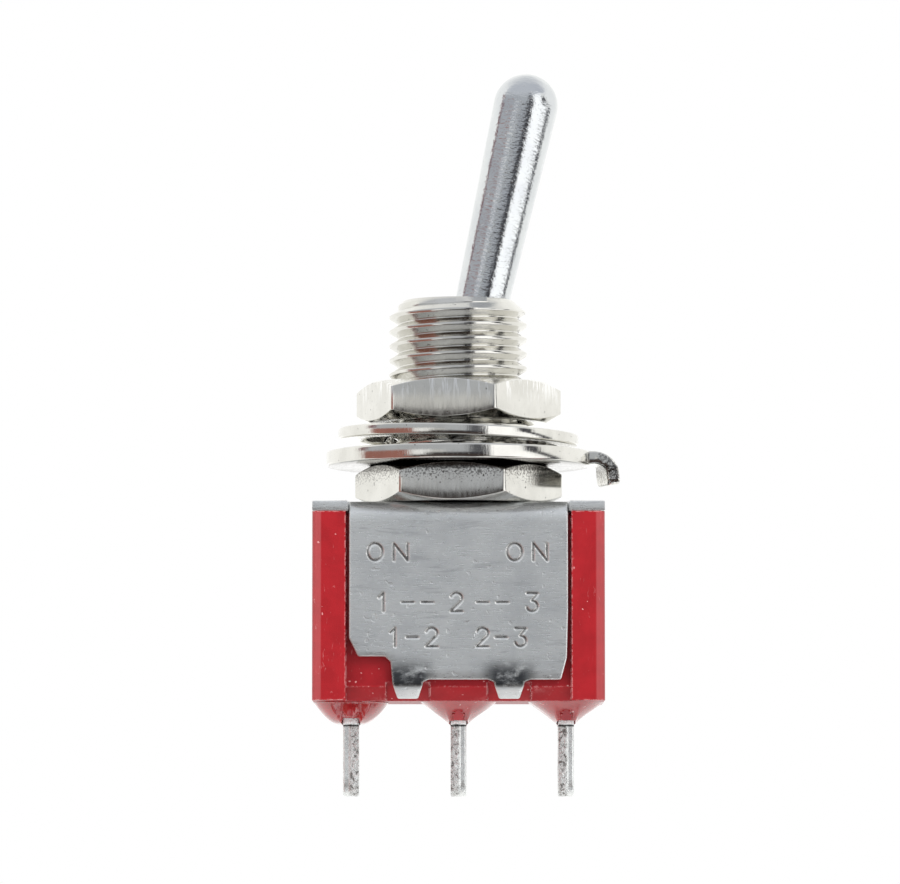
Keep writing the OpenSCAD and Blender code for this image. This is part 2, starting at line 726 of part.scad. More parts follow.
module locating_washer() {
    inner = thread_r + washer_gap;
    bend = [locating_r + locating_overhang, locating_t - locating_bend_r];
    end_r = locating_bend_r - locating_tab_t;
    foot_x = bend[0] + (locating_tab_drop - locating_bend_r) * tan(locating_lean) - locating_lip;
    foot_z = bend[1] - locating_tab_drop + locating_bend_r;
    color("gainsboro") translate([0, 0, locating_z - locating_t]) union() {
        difference() {
            cylinder(h = locating_t, r = locating_r);
            translate([0, 0, -eps]) cylinder(h = 2 * locating_t, r = inner);
        }
        // Tongue that slides in the bushing's keyway
        translate([keyway_r + tongue_gap, tongue_gap - keyway_w / 2, 0])
            cube([inner + tongue_root - keyway_r, keyway_w - 2 * tongue_gap, locating_t]);
        // Tab bent down at the edge
        across(locating_tab_w) polygon(concat(
            [[locating_r - tab_root, 0], [locating_r - tab_root, locating_t]],
            arc(bend[0], bend[1], locating_bend_r, 90, locating_lean),
            [[foot_x + locating_bend_r, foot_z], [foot_x + end_r, foot_z]],
            arc(bend[0], bend[1], end_r, locating_lean, 80)));
    }
}

case();
frame();
bushing();
terminal_common();
terminal_left();
terminal_right();
contact_left();
contact_right();
seal_left();
seal_common();
seal_right();
lower_nut();
locating_washer();
lock_washer();
upper_nut();
lever();
pivot_pin();
spring();
plunger();
rocker();
rocker_contact_left();
rocker_contact_right();
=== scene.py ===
"""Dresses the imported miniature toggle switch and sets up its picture.

Shapes are worked out in millimetres, in the frame of the CAD part: the origin is on the bushing's
axis in the plane of the upper nut's top face, +Z runs up the bushing, +X is the lever's side and
-Y is the front. They become metres when a mesh is made.
"""

import math
from math import cos, hypot, pi, radians, sin

import bmesh
import bpy
import numpy as np
from mathutils import Matrix, Vector, noise
from mathutils.geometry import delaunay_2d_cdt


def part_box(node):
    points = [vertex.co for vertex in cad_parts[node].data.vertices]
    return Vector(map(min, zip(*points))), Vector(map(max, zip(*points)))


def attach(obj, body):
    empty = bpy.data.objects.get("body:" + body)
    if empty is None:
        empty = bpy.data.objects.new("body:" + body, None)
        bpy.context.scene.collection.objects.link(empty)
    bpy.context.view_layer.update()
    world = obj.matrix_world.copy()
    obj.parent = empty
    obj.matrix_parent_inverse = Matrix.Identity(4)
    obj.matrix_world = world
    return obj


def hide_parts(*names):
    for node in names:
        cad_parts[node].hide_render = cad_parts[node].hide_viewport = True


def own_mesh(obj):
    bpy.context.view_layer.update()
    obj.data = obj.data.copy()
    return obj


MM = 0.001
# Reach within which a CAD mesh's points are one, a finer one for built meshes, and a near zero
WELD = 0.002
SNAP = 1e-7
TINY = 1e-9

# Sizes in millimetres and angles in degrees that repeat those of the solids being dressed
THROW = 12.5
TAB_X = 2.20
SEAL_H = 0.96
PIVOT_UP = 4.25
LOCATING_T = 0.65

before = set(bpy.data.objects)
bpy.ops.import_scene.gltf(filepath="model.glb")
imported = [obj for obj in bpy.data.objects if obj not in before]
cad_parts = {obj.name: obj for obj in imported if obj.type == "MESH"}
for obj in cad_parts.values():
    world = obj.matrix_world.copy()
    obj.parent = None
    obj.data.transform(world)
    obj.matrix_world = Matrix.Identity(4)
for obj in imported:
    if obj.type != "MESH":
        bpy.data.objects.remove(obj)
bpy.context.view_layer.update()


def box_mm(node):
    """Lowest and highest corner of a CAD node, in millimetres."""
    low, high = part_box(node)
    return np.array(low) / MM, np.array(high) / MM


# Levels taken from the CAD nodes
CASE_END = box_mm("case")[1][0]
BASE_Z = box_mm("case")[0][2]
FRAME_Z = box_mm("frame")[1][2]
BUSHING_TOP = box_mm("bushing")[1][2]
LUG_Z = box_mm("terminal_common")[0][2]
PIVOT_Z = FRAME_Z + PIVOT_UP
LOWER_NUT_TOP = box_mm("lower_nut")[1][2]
LOCATING_TOP = LOWER_NUT_TOP + LOCATING_T


# Meshes

def new_piece(name, data):
    """An object for a mesh, a lamp or the camera, linked to the scene."""
    piece = bpy.data.objects.new(name, data)
    bpy.context.scene.collection.objects.link(piece)
    return piece


def make_mesh(name, points, faces, smooth_angle):
    """A mesh object from points in millimetres, with edges sharper than smooth_angle kept sharp."""
    mesh = bpy.data.meshes.new(name)
    mesh.from_pydata((np.asarray(points) * MM).tolist(), [], faces)
    bm = bmesh.new()
    bm.from_mesh(mesh)
    bmesh.ops.remove_doubles(bm, verts=bm.verts, dist=SNAP)
    bmesh.ops.dissolve_degenerate(bm, edges=bm.edges, dist=SNAP)
    bmesh.ops.recalc_face_normals(bm, faces=bm.faces)
    bm.to_mesh(mesh)
    bm.free()
    shade(mesh, smooth_angle)
    return new_piece(name, mesh)


def cad_copy(node, name, flat=0.0):
    """A piece with a CAD node's mesh, its doubled points joined, and its facets within flat degrees."""
    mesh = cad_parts[node].data.copy()
    mesh.name = name
    bm = bmesh.new()
    bm.from_mesh(mesh)
    bmesh.ops.remove_doubles(bm, verts=bm.verts, dist=WELD * MM)
    if flat:
        bmesh.ops.dissolve_limit(bm, angle_limit=radians(flat), verts=bm.verts, edges=bm.edges)
    bm.to_mesh(mesh)
    bm.free()
    return new_piece(name, mesh)


def shade(mesh, smooth_angle):
    """Smooth shading, with edges sharper than smooth_angle kept sharp."""
    mesh.polygons.foreach_set("use_smooth", [True] * len(mesh.polygons))
    mesh.set_sharp_from_angle(angle=radians(smooth_angle))


def paint(piece, material):
    """Gives a piece one material and no other."""
    piece.data.materials.clear()
    piece.data.materials.append(material)


def dress(piece, body, material, node):
    """Gives a piece its material and its body, and hides the CAD node that it stands for."""
    paint(piece, material)
    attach(piece, body)
    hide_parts(node)


def grid_faces(rows, columns):
    """Quads of a grid of points listed row by row, wrapped around its columns."""
    return [
        (r * columns + c, r * columns + (c + 1) % columns,
         (r + 1) * columns + (c + 1) % columns, (r + 1) * columns + c)
        for r in range(rows - 1) for c in range(columns)
    ]


def limit(value):
    """A number held between 0 and 1."""
    return min(1.0, max(0.0, value))


def around(radius, angles):
    """Points at a radius from the origin, at angles in radians."""
    return [(radius * cos(a), radius * sin(a)) for a in angles]


def circle(radius, steps):
    """Points of a closed circle, anticlockwise from +X."""
    return around(radius, np.linspace(0, 2 * pi, steps + 1)[:-1])


def arc(centre, radius, start, end, steps):
    """Points of an arc in a plane, with its angles in degrees."""
    angles = np.radians(np.linspace(start, end, steps + 1))
    return [(centre[0] + radius * cos(a), centre[1] + radius * sin(a)) for a in angles]


FILLET_SHARE = 0.45
NEARLY_STRAIGHT = radians(88)


def fillet(points, radius, steps=4, closed=False):
    """A polyline with its corners rounded. radius is one number or one for each corner."""
    count = len(points)
    radii = radius if isinstance(radius, (list, tuple)) else [radius] * count
    out = []
    for i, (p, r) in enumerate(zip(points, radii)):
        p = np.array(p, float)
        if r == 0 or (not closed and i in (0, count - 1)):
            out.append(tuple(p))
            continue
        a = np.array(points[i - 1], float) - p
        b = np.array(points[(i + 1) % count], float) - p
        la, lb = np.linalg.norm(a), np.linalg.norm(b)
        if min(la, lb) < TINY:
            out.append(tuple(p))
            continue
        a, b = a / la, b / lb
        half = math.acos(max(-1.0, min(1.0, float(a @ b)))) / 2
        if half > NEARLY_STRAIGHT:
            out.append(tuple(p))
            continue
        reach = min(r / math.tan(half), FILLET_SHARE * la, FILLET_SHARE * lb)
        for t in np.linspace(0, 1, steps + 1):
            start, end = p + a * reach, p + b * reach
            out.append(tuple((1 - t) ** 2 * start + 2 * t * (1 - t) * p + t * t * end))
    return out


def resample(loop, step):
    """A closed loop with extra points so that no side is longer than step."""
    out = []
    for i, p in enumerate(loop):
        p, q = np.array(p, float), np.array(loop[(i + 1) % len(loop)], float)
        parts = max(1, math.ceil(np.linalg.norm(q - p) / step))
        out += [tuple(p + (q - p) * k / parts) for k in range(parts)]
    return out


def inset(loop, amount):
    """A closed loop moved inwards along its corner normals; amount is a number or one a point."""
    p = np.array(loop, float)
    before, after = p - np.roll(p, 1, 0), np.roll(p, -1, 0) - p
    before /= np.maximum(np.linalg.norm(before, axis=1), TINY)[:, None]
    after /= np.maximum(np.linalg.norm(after, axis=1), TINY)[:, None]
    normal = np.stack([-(before + after)[:, 1], (before + after)[:, 0]], 1)
    normal /= np.maximum(np.linalg.norm(normal, axis=1), TINY)[:, None]
    return p + normal * np.reshape(amount, (-1, 1))


def inside(points, loops):
    """Which points lie inside the first loop and outside the others, by crossings."""
    hits = np.zeros(len(points), int)
    x, y = points[:, 0], points[:, 1]
    for loop in loops:
        loop = np.asarray(loop)
        for p, q in zip(loop, np.roll(loop, -1, 0)):
            span = (p[1] > y) != (q[1] > y)
            cross = p[0] + (y - p[1]) / (q[1] - p[1] + 1e-15) * (q[0] - p[0])
            hits += span & (x < cross)
    return hits % 2 == 1


def plate(loops, layers, extra):
    """A sheet cut along loops, the outline first and anticlockwise and the holes clockwise.

    Each layer is (depth, inset), from the outer face to the inner one, and an inset is a number or
    a function of the loop. extra are points inside the faces, for bends and stamping. Returns the
    points as (u, v, depth) and the faces.
    """
    points, faces = [], []
    edge_rings = []
    for depth, amount in layers:
        rings = []
        for loop in loops:
            ring = inset(loop, amount(loop) if callable(amount) else amount)
            rings.append(range(len(points), len(points) + len(ring)))
            points += [(x, y, depth) for x, y in ring]
        edge_rings.append(rings)
    for upper, lower in zip(edge_rings, edge_rings[1:]):
        for a, b in zip(upper, lower):
            n = len(a)
            faces += [(a[i], a[(i + 1) % n], b[(i + 1) % n], b[i]) for i in range(n)]
    for rings, flip in ((edge_rings[0], False), (edge_rings[-1], True)):
        flat = [Vector(points[i][:2]) for ring in rings for i in ring]
        ids = [i for ring in rings for i in ring]
        outlines = [np.array([points[i][:2] for i in ring]) for ring in rings]
        edges, at = [], 0
        for ring in rings:
            edges += [(at + i, at + (i + 1) % len(ring)) for i in range(len(ring))]
            at += len(ring)
        inner = np.array(extra, float)
        inner = inner[inside(inner, outlines)]
        found = delaunay_2d_cdt(flat + [Vector(p) for p in inner], edges, [], 0, SNAP)
        spots, _, cells, origins = found[:4]
        depth = points[ids[0]][2]
        place = {}
        for k, origin in enumerate(origins):
            known = [o for o in origin if o < len(ids)]
            if known:
                place[k] = ids[known[0]]
            else:
                place[k] = len(points)
                points.append((spots[k].x, spots[k].y, depth))
        corners = np.array([[spots[i] for i in cell] for cell in cells], float)
        for cell, kept in zip(cells, inside(corners.mean(1), outlines)):
            if kept:
                face = [place[i] for i in cell]
                faces.append(tuple(face if flip else reversed(face)))
    return np.array(points), faces


def rounded_layers(thickness, radius):
    """Layers of a sheet with rounded edges."""
    angles = np.linspace(0, pi / 2, 4)
    top = [(radius * (1 - cos(a)), radius * (1 - sin(a))) for a in angles]
    return top + [(thickness - d, i) for d, i in reversed(top)]


def lathe(profile, columns):
    """Points and faces of a profile of (radius, height) turned about Z."""
    angles = np.linspace(0, 2 * pi, columns, endpoint=False)
    points = [(r * cos(a), r * sin(a), z) for r, z in profile for a in angles]
    return points, grid_faces(len(profile), columns)


# Materials

Socket = bpy.types.NodeSocket


class Graph:
    """The nodes of a material or world, built by calls that each return the socket they make."""

    def __init__(self, owner):
        self.tree = owner.node_tree
        self.tree.nodes.clear()

    def add(self, kind, inputs=(), output=0, **settings):
        node = self.tree.nodes.new("ShaderNode" + kind)
        for key, value in settings.items():
            setattr(node, key, value)
        for key, value in dict(inputs).items():
            if isinstance(value, Socket):
                self.tree.links.new(value, node.inputs[key])
            else:
                node.inputs[key].default_value = value
        return node.outputs[output]

    def place(self, stretch=(1, 1, 1), lean=0.0):
        """Place on the piece in millimetres, leaned about Y in degrees and stretched."""
        where = self.add("TexCoord", output="Object")
        if lean:
            where = self.add("VectorRotate", {"Vector": where, "Angle": -radians(lean)},
                             rotation_type="Y_AXIS")
        scale = [s / MM for s in stretch]
        return self.add("VectorMath", {0: where, 1: scale}, operation="MULTIPLY")

    def part(self, vector, axis):
        return self.add("SeparateXYZ", {0: vector}, output=axis)

    def noise(self, vector, scale, detail=2.0, rough=0.5, warp=0.0):
        return self.add("TexNoise", {"Vector": vector, "Scale": scale, "Detail": detail,
                                               "Roughness": rough, "Distortion": warp})

    def math(self, operation, a, b=0.5):
        return self.add("Math", {0: a, 1: b}, operation=operation)

    def plus(self, a, b):
        """The sum of two sockets or numbers, which is a number if both are."""
        return self.math("ADD", a, b) if isinstance(a, Socket) or isinstance(b, Socket) else a + b

    def times(self, a, b):
        return self.math("MULTIPLY", a, b)

    def absolute(self, value):
        return self.math("ABSOLUTE", value)

    def step(self, value, low, high, to_low=0.0, to_high=1.0):
        """A smooth step from to_low at low to to_high at high."""
        return self.add("MapRange", {0: value, 1: low, 2: high, 3: to_low, 4: to_high},
                        interpolation_type="SMOOTHSTEP")

    def band(self, value, low, high, soft):
        """1 from low to high and 0 outside, with both ends softened."""
        rise = self.step(value, self.plus(low, -soft), self.plus(low, soft))
        fall = self.step(value, self.plus(high, -soft), self.plus(high, soft), 1.0, 0.0)
        return self.times(rise, fall)

    def mix(self, factor, a, b):
        """Colour a, or colour b where factor is 1."""
        colour = [c if isinstance(c, Socket) else (*c, 1.0) for c in (a, b)]
        return self.add("Mix", {0: factor, 6: colour[0], 7: colour[1]}, output=2,
                        data_type="RGBA")

    def edge(self, width, share):
        """Mask of the edges within width, broken up by noise above share."""
        soft = self.add("Bevel", {"Radius": width * MM}, samples=6)
        true = self.add("NewGeometry", output="True Normal")
        turn = self.add("VectorMath", {0: soft, 1: true}, output="Value",
                        operation="DOT_PRODUCT")
        near = self.step(turn, 0.995, 0.93)
        ragged = self.noise(self.place(), 6.0, 3.0, 0.7)
        return self.times(near, self.step(ragged, share, share + 0.08))

    def bump(self, height, distance):
        return self.add("Bump", {"Height": height, "Distance": distance * MM, "Strength": 1.0})

    def finish(self, shader, kind="OutputMaterial"):
        out = self.tree.nodes.new("ShaderNode" + kind)
        self.tree.links.new(shader, out.inputs["Surface"])

    def surface(self, **inputs):
        """Ends the graph in a principled surface, with _ in an input's name for its space."""
        self.finish(self.add("BsdfPrincipled",
                             {k.replace("_", " "): v for k, v in inputs.items()}))


def new_material(name):
    material = bpy.data.materials.new(name)
    material.use_nodes = True
    return material, Graph(material)


WHITE = (1.0, 1.0, 1.0)
GRAIN = 0.004
CLOUD_EDGES = (0.35, 0.65)
STREAK_EDGES = (0.3, 0.7)
# Depth below the upper nut's top face of its painted highlight
HIGHLIGHT_DEPTH = 1.2
# How fast the painted shade under the washers thins out downwards, and its colour
SHADE_THINNING = 0.26
PAINTED_SHADE_COLOUR = (0.10, 0.09, 0.085)
BEATEN_X = 5.95


def plated_metal(name, colour, tarnish, roughness, streaks=(1, 1, 1), specks=0.76, hardware=False):
    """Plated metal with cloudy plate, fine drawn streaks and pits, and on the hardware dents, a painted
    highlight and painted shade.
    """
    material, g = new_material(name)
    here = g.place()
    cloud = g.noise(here, 0.8, 3.0)
    streak = g.noise(g.place(streaks), 9.0, 4.0, 0.6)
    pits = g.step(g.noise(here, 7.0, 1.0), specks, specks + 0.03)
    tone = g.mix(g.step(cloud, *CLOUD_EDGES), colour, tarnish)
    tone = g.mix(pits, tone, [c * 0.25 for c in colour])
    height = g.plus(streak, g.times(pits, -1.5))
    if hardware:
        # The hardware gets a painted highlight at the upper nut's top and painted shade under the washers
        tone = with_painted_shade(g, with_painted_highlight(g, tone))
        height = beaten(g, height)
    dull = g.step(streak, *STREAK_EDGES, roughness * 0.75, roughness * 1.5)
    g.surface(Base_Color=tone, Metallic=1.0, Roughness=dull, Normal=g.bump(height, GRAIN))
    return material


def with_painted_highlight(g, tone):
    """Painted highlight: pale upright streaks that run down from the upper nut's top face, which is at
    height 0.
    """
    level = g.part(g.place(), 2)
    rays = g.noise(g.place((1, 1, 0.12)), 4.5, 3.0, 0.7)
    reach = g.times(g.step(level, -HIGHLIGHT_DEPTH, -0.2), g.step(level, 0.1, 0.0))
    return g.mix(g.times(reach, g.step(rays, 0.52, 0.62, 0.0, 0.7)), tone, WHITE)


def with_painted_shade(g, tone):
    """Painted shade under the washers: dark specks that thin out downwards from the lower nut's top face.
    """
    here = g.place()
    level = g.part(here, 2)
    thinned = g.times(g.plus(level, -LOWER_NUT_TOP), SHADE_THINNING)
    shade_specks = g.step(g.plus(g.noise(here, 12.0, 3.0, 0.8), thinned), 0.36, 0.45)
    shade_specks = g.times(shade_specks, g.step(level, LOWER_NUT_TOP + 0.03, LOWER_NUT_TOP))
    return g.mix(g.times(shade_specks, 0.75), tone, PAINTED_SHADE_COLOUR)


def beaten(g, height):
    """Height of the plate with the locating tab's dents, from where the tab bends."""
    here = g.place()
    dents = g.step(g.part(here, 0), BEATEN_X, BEATEN_X + 0.2, 0.0, 12.0)
    return g.plus(height, g.times(g.noise(here, 2.8, 3.0, 0.6), dents))


def polished_chrome(name):
    """Polished turned metal: fine ripples across the lever that fray its reflections, and specks."""
    material, g = new_material(name)
    cloud = g.noise(g.place(), 0.8, 3.0)
    ripple = g.noise(g.place((1, 1, 2.4), THROW), 3.6, 3.0, 0.6)
    specks = g.step(g.noise(g.place(), 7.0, 0.0), 0.79, 0.81)
    tone = g.mix(g.step(cloud, *CLOUD_EDGES), (0.70, 0.72, 0.73), (0.65, 0.67, 0.69))
    g.surface(Base_Color=tone, Metallic=1.0, Roughness=g.step(ripple, *STREAK_EDGES, 0.03, 0.07),
              Normal=g.bump(g.plus(ripple, specks), 0.021))
    return material


TIN_PALE = (0.88, 0.90, 0.89)
TIN_DULL = (0.79, 0.81, 0.80)
TIN_PIT = (0.24, 0.23, 0.22)
# Colour of the painted shadow line on the terminals
NEAR_BLACK = (0.05, 0.05, 0.05)


def torn_tin(name):
    """Tinned brass: satin where it is rolled or sheared, coarse where it was torn.

    A pale band is painted at the seal's level as a highlight, with a painted shadow line under it.
    """
    material, g = new_material(name)
    here = g.place()
    torn = g.add("Attribute", attribute_name="torn", output=2)
    satin = g.noise(g.place((1, 1, 0.4)), 9.0, 3.0, 0.6)
    coarse = g.noise(here, 5.0, 4.0, 0.7, 0.6)
    pits = g.times(g.step(coarse, 0.49, 0.40), torn)
    tone = g.mix(g.step(g.noise(here, 1.5), *CLOUD_EDGES), TIN_PALE, TIN_DULL)
    level = g.plus(g.part(here, 2), g.times(coarse, 0.06))
    seal_z = BASE_Z - SEAL_H
    # Painted highlight: the metal just above the seal's level is painted white and made less metallic
    collar_highlight = g.step(level, seal_z, seal_z + 0.03)
    tone = g.mix(g.times(pits, g.step(collar_highlight, 1.0, 0.0)), tone, TIN_PIT)
    tone = g.mix(collar_highlight, tone, WHITE)
    # Painted shadow: a dark line just under the seal's level
    shadow = g.times(g.step(level, seal_z - 0.10, seal_z - 0.06), g.step(level, seal_z, seal_z - 0.02))
    tone = g.mix(shadow, tone, NEAR_BLACK)
    height = g.plus(g.times(satin, 0.15), g.times(coarse, torn))
    g.surface(Base_Color=tone, Metallic=g.step(collar_highlight, 0.0, 1.0, 0.7, 0.1),
              Roughness=g.step(satin, *STREAK_EDGES, 0.22, 0.38), Normal=g.bump(height, 0.12))
    return material


ZINC_PALE = (0.77, 0.79, 0.79)
ZINC_DULL = (0.67, 0.69, 0.70)
ZINC_STREAK = (0.82, 0.84, 0.84)
ZINC_SMEAR = (0.42, 0.43, 0.45)
ZINC_BARE = (1.0, 1.0, 0.98)
# Colour of the painted dark reflection above the crimp tabs
PAINTED_REFLECTION_COLOUR = (0.03, 0.033, 0.040)
# Colour of the painted shade in the stamped strokes
STROKE_SHADE_COLOUR = (0.06, 0.06, 0.06)
ALONG_X = (0.12, 1, 1)


def zinc_sheet(name):
    """Brushed sheet steel: fine lines along X, cloudy plate, smears, dents and bare worn edges, with
    painted reflection and shade.
    """
    material, g = new_material(name)
    here = g.place()
    cloud = g.noise(here, 0.55, 4.0, 0.6)
    brushed = g.noise(g.place(ALONG_X), 16.0, 4.0, 0.65)
    broad = g.noise(g.place((0.3, 1, 1)), 2.2, 3.0, 0.6)
    dents = g.step(g.noise(here, 3.4, 1.0, 0.4), 0.70, 0.76)
    smear = g.noise(g.place(ALONG_X), 2.6, 5.0, 0.7, 0.5)
    stamped = g.add("Attribute", attribute_name="stamped", output=2)
    tone = g.mix(g.step(cloud, *CLOUD_EDGES), ZINC_PALE, ZINC_DULL)
    tone = g.mix(g.step(broad, 0.35, 0.75, 0.0, 0.5), tone, ZINC_STREAK)
    tone = g.mix(g.step(smear, 0.56, 0.66, 0.0, 0.4), tone, ZINC_SMEAR)
    # Painted dark reflection of the bends above the crimp tabs
    tone = g.mix(g.times(painted_bend_reflection(g), 0.95), tone, PAINTED_REFLECTION_COLOUR)
    # Painted shade in the stamped strokes, on their upper left side
    tone = g.mix(g.times(stamped, 0.95), tone, STROKE_SHADE_COLOUR)
    tone = g.mix(g.edge(0.08, 0.38), tone, ZINC_BARE)
    dull = g.step(brushed, *STREAK_EDGES, 0.24, 0.42)
    height = g.plus(brushed, g.times(dents, -2.0))
    g.surface(Base_Color=tone, Metallic=0.82, Roughness=dull, Normal=g.bump(height, 0.005))
    return material


def painted_bend_reflection(g):
    """Mask of the painted dark reflection of the bends, above the crimp tabs."""
    x, z = (g.part(g.place(), k) for k in (0, 2))
    side = g.absolute(g.math("SUBTRACT", g.absolute(x), TAB_X))
    reflection_mask = g.times(g.step(side, 1.5, 0.5), g.step(z, FRAME_Z - 6.6, FRAME_Z - 7.6))
    reflection_mask = g.times(reflection_mask, g.step(z, FRAME_Z - 8.15, FRAME_Z - 7.95))
    return g.times(reflection_mask, g.step(g.noise(g.place((0.6, 1, 1)), 2.0, 4.0, 0.7), 0.25, 0.55))


RECESS_Y = (3.05, 2.90)
RECESS_UP = (0.6, 0.7)
# Colour of the painted shade in the case's recesses
RECESS_SHADE_COLOUR = (0.17, 0.008, 0.014)
# Reach of the painted sheen on the case's end flanks
FLANK_SHEEN_IN = (0.42, 0.34)


def moulded_plastic(name, colour, wear_and_sheen, roughness, index, edge=0.0):
    """Moulded red plastic: slight mottling, scuffs, nicks and a faint uneven gloss.

    With an edge width it is the case, whose edges are paler with wear, whose flanks are paler with a
    painted sheen and whose recesses are darker with painted shade.
    """
    material, g = new_material(name)
    here = g.place()
    mottle = g.noise(here, 1.6, 3.0)
    scuff = g.step(g.noise(g.place((1, 1, 0.25)), 5.0, 5.0, 0.65, 1.5), 0.64, 0.72)
    nicks = g.step(g.noise(here, 5.5, 0.0), 0.81, 0.82)
    tone = g.mix(g.step(mottle, *STREAK_EDGES), colour, [c * 0.86 for c in colour])
    if edge:
        x, y, z = (g.part(here, k) for k in range(3))
        # Painted shade on the recessed faces under the frame's side plates
        recess_shade = g.times(g.step(g.absolute(y), *RECESS_Y), g.step(z, *[BASE_Z + up for up in RECESS_UP]))
        tone = g.mix(g.times(recess_shade, 0.32), tone, RECESS_SHADE_COLOUR)
        # Painted sheen: the outer flanks at the case's ends are made paler
        tone = g.mix(g.step(g.absolute(x), *[CASE_END - d for d in FLANK_SHEEN_IN], 0.0, 0.13), tone, wear_and_sheen)
    tone = g.mix(g.times(scuff, 0.30), tone, wear_and_sheen)
    tone = g.mix(g.times(nicks, 0.7), tone, wear_and_sheen)
    if edge:
        tone = g.mix(g.times(g.edge(edge, 0.46), 0.8), tone, wear_and_sheen)
    dull = g.plus(g.times(scuff, 0.25), roughness)
    g.surface(Base_Color=tone, Roughness=dull, Normal=g.bump(g.noise(here, 22.0, 3.0), GRAIN), IOR=index)
    return material


STEEL = zinc_sheet("zinc_steel")
NICKEL = plated_metal("nickel", (0.76, 0.75, 0.71), (0.69, 0.68, 0.64), 0.12, (1, 1, 0.15), 0.75,
                      hardware=True)
CHROME = polished_chrome("lever_chrome")
TINNED = torn_tin("tinned")
SILVER = plated_metal("silver_contact", (0.80, 0.79, 0.76), (0.70, 0.69, 0.65), 0.25)
SPRING = plated_metal("spring_steel", (0.45, 0.45, 0.46), (0.36, 0.36, 0.37), 0.30)
PLUNGER = plated_metal("brass_plunger", (0.72, 0.56, 0.30), (0.60, 0.44, 0.22), 0.25, (1, 1, 6))
ROCKER = plated_metal("brass_rocker", (0.76, 0.60, 0.34), (0.64, 0.48, 0.26), 0.30)
RED = moulded_plastic("case_plastic", (0.39, 0.014, 0.020), (0.80, 0.42, 0.42), 0.34, 1.3, edge=0.09)
RESIN = moulded_plastic("seal_resin", (0.40, 0.010, 0.014), (0.75, 0.42, 0.40), 0.12, 2.05)


# Case

CASE_EDGE = 0.05


def make_case():
    """The moulded case, with its edges eased."""
    piece = cad_copy("case", "red_case", flat=1)
    edge = piece.modifiers.new("eased edges", "BEVEL")
    edge.width = CASE_EDGE * MM
    edge.segments = 2
    edge.limit_method = "ANGLE"
    edge.angle_limit = radians(30)
    edge.harden_normals = True
    shade(piece.data, 30)
    dress(piece, "root", RED, "case")


# Folded frame

SHEET_T = 0.45
SHEET_EDGE = 0.06
PLATE_HALF = 4.75
FOLD_R = 0.80
CASE_DEPTH = 6.86
HALF_DEPTH = CASE_DEPTH / 2
TOP_HALF = HALF_DEPTH - FOLD_R
FOLD_ARC = FOLD_R * pi / 2
PLATE_H = 7.76
STEP_H = 6.76
BEND_DROP = 7.91
BEND_ARC = SHEET_T * pi / 4
TAB_SLOPE = 0.54
TAB_ROOT = 0.68
TAB_END = 0.45
FLAP_EDGE = 4.81
STRAIGHT = TOP_HALF + FOLD_ARC - FOLD_R
SPIGOT_HOLE = 2.51
COARSE = 0.4
FINE = 0.030


def folded(u, v, depth):
    """Place of a point of the unfolded sheet: u along X and v across it, depth into the sheet."""
    side = -1.0 if v < 0 else 1.0
    v = abs(v)
    if v <= TOP_HALF or abs(u) > (PLATE_HALF + FLAP_EDGE) / 2:
        return u, side * v, FRAME_Z - depth
    v -= TOP_HALF
    if v <= FOLD_ARC:
        a = v / FOLD_R
        r = FOLD_R - depth
        return u, side * (TOP_HALF + r * sin(a)), FRAME_Z - FOLD_R + r * cos(a)
    drop = v - FOLD_ARC + FOLD_R
    if drop <= BEND_DROP:
        return u, side * (HALF_DEPTH - depth), FRAME_Z - drop
    drop -= BEND_DROP
    a = min(drop, BEND_ARC) / SHEET_T
    r = SHEET_T - depth
    y = HALF_DEPTH - SHEET_T + r * cos(a)
    z = FRAME_Z - BEND_DROP - r * sin(a)
    rest = max(0.0, drop - BEND_ARC) * math.sqrt(0.5)
    return u, side * (y - rest), z - rest


def side_outline():
    """Half of the pattern below the fold, from the right slit to the left one, with v > 0."""
    foot = STRAIGHT + PLATE_H
    step = STRAIGHT + STEP_H
    tab_v = STRAIGHT + BEND_DROP + BEND_ARC + TAB_SLOPE
    h = PLATE_HALF
    # Corners as (u, v, radius)
    tab = [(TAB_ROOT + 0.24, foot, 0.2), (TAB_ROOT, foot + 0.10, 0.05), (TAB_END, tab_v, 0.14)]
    corners = [(h, TOP_HALF, 0), (h, foot - 2.9, 0), (h - 0.05, foot - 0.95, 0.1), (h - 0.30, foot, 0.12)]
    corners += [(TAB_X + u, v, r) for u, v, r in tab] + [(TAB_X - u, v, r) for u, v, r in tab[::-1]]
    corners += [(-TAB_X + u, v, r) for u, v, r in tab]
    corners += [(-TAB_X - TAB_END, tab_v, 0.14), (-TAB_X - TAB_ROOT, foot + 0.10, 0.3)]
    corners += [(-h + 1.80, step + 0.24, 0.15), (-h + 1.56, step, 0.12), (-h + 0.39, step, 0.12),
                (-h, step - 0.80, 0.1), (-h, TOP_HALF, 0)]
    return fillet([c[:2] for c in corners], [c[2] for c in corners])


# Stamped marks, whose strokes are grooves with painted shade on their shaded, upper left side
STROKE_HALF = 0.075
STROKE_DEPTH = 0.045
# Width and shift of the painted shade beside the strokes
STROKE_SHADE_HALF = 0.048
STROKE_SHADE_SHIFT = (-0.025, 0.030)
LETTER_SIZE = (0.60, 0.74)
LETTER_O = (0.64, 0.74)
LETTER_STEP = 1.13
DIGIT_SIZE = (0.50, 0.80)
DASH = 0.50
DASH_UP = 0.40
# Rows as (height, left edges of the glyphs, left edges of the dashes)
LETTER_ROW = (-7.97, (-3.93, 2.12))
TERMINAL_ROW = (-10.18, (-3.55, -0.33, 2.95), (-2.45, -1.60, 0.80, 1.65))
PAIR_ROW = (-11.70, (-3.05, -1.40, 0.80, 2.45), (-2.25, 1.60))


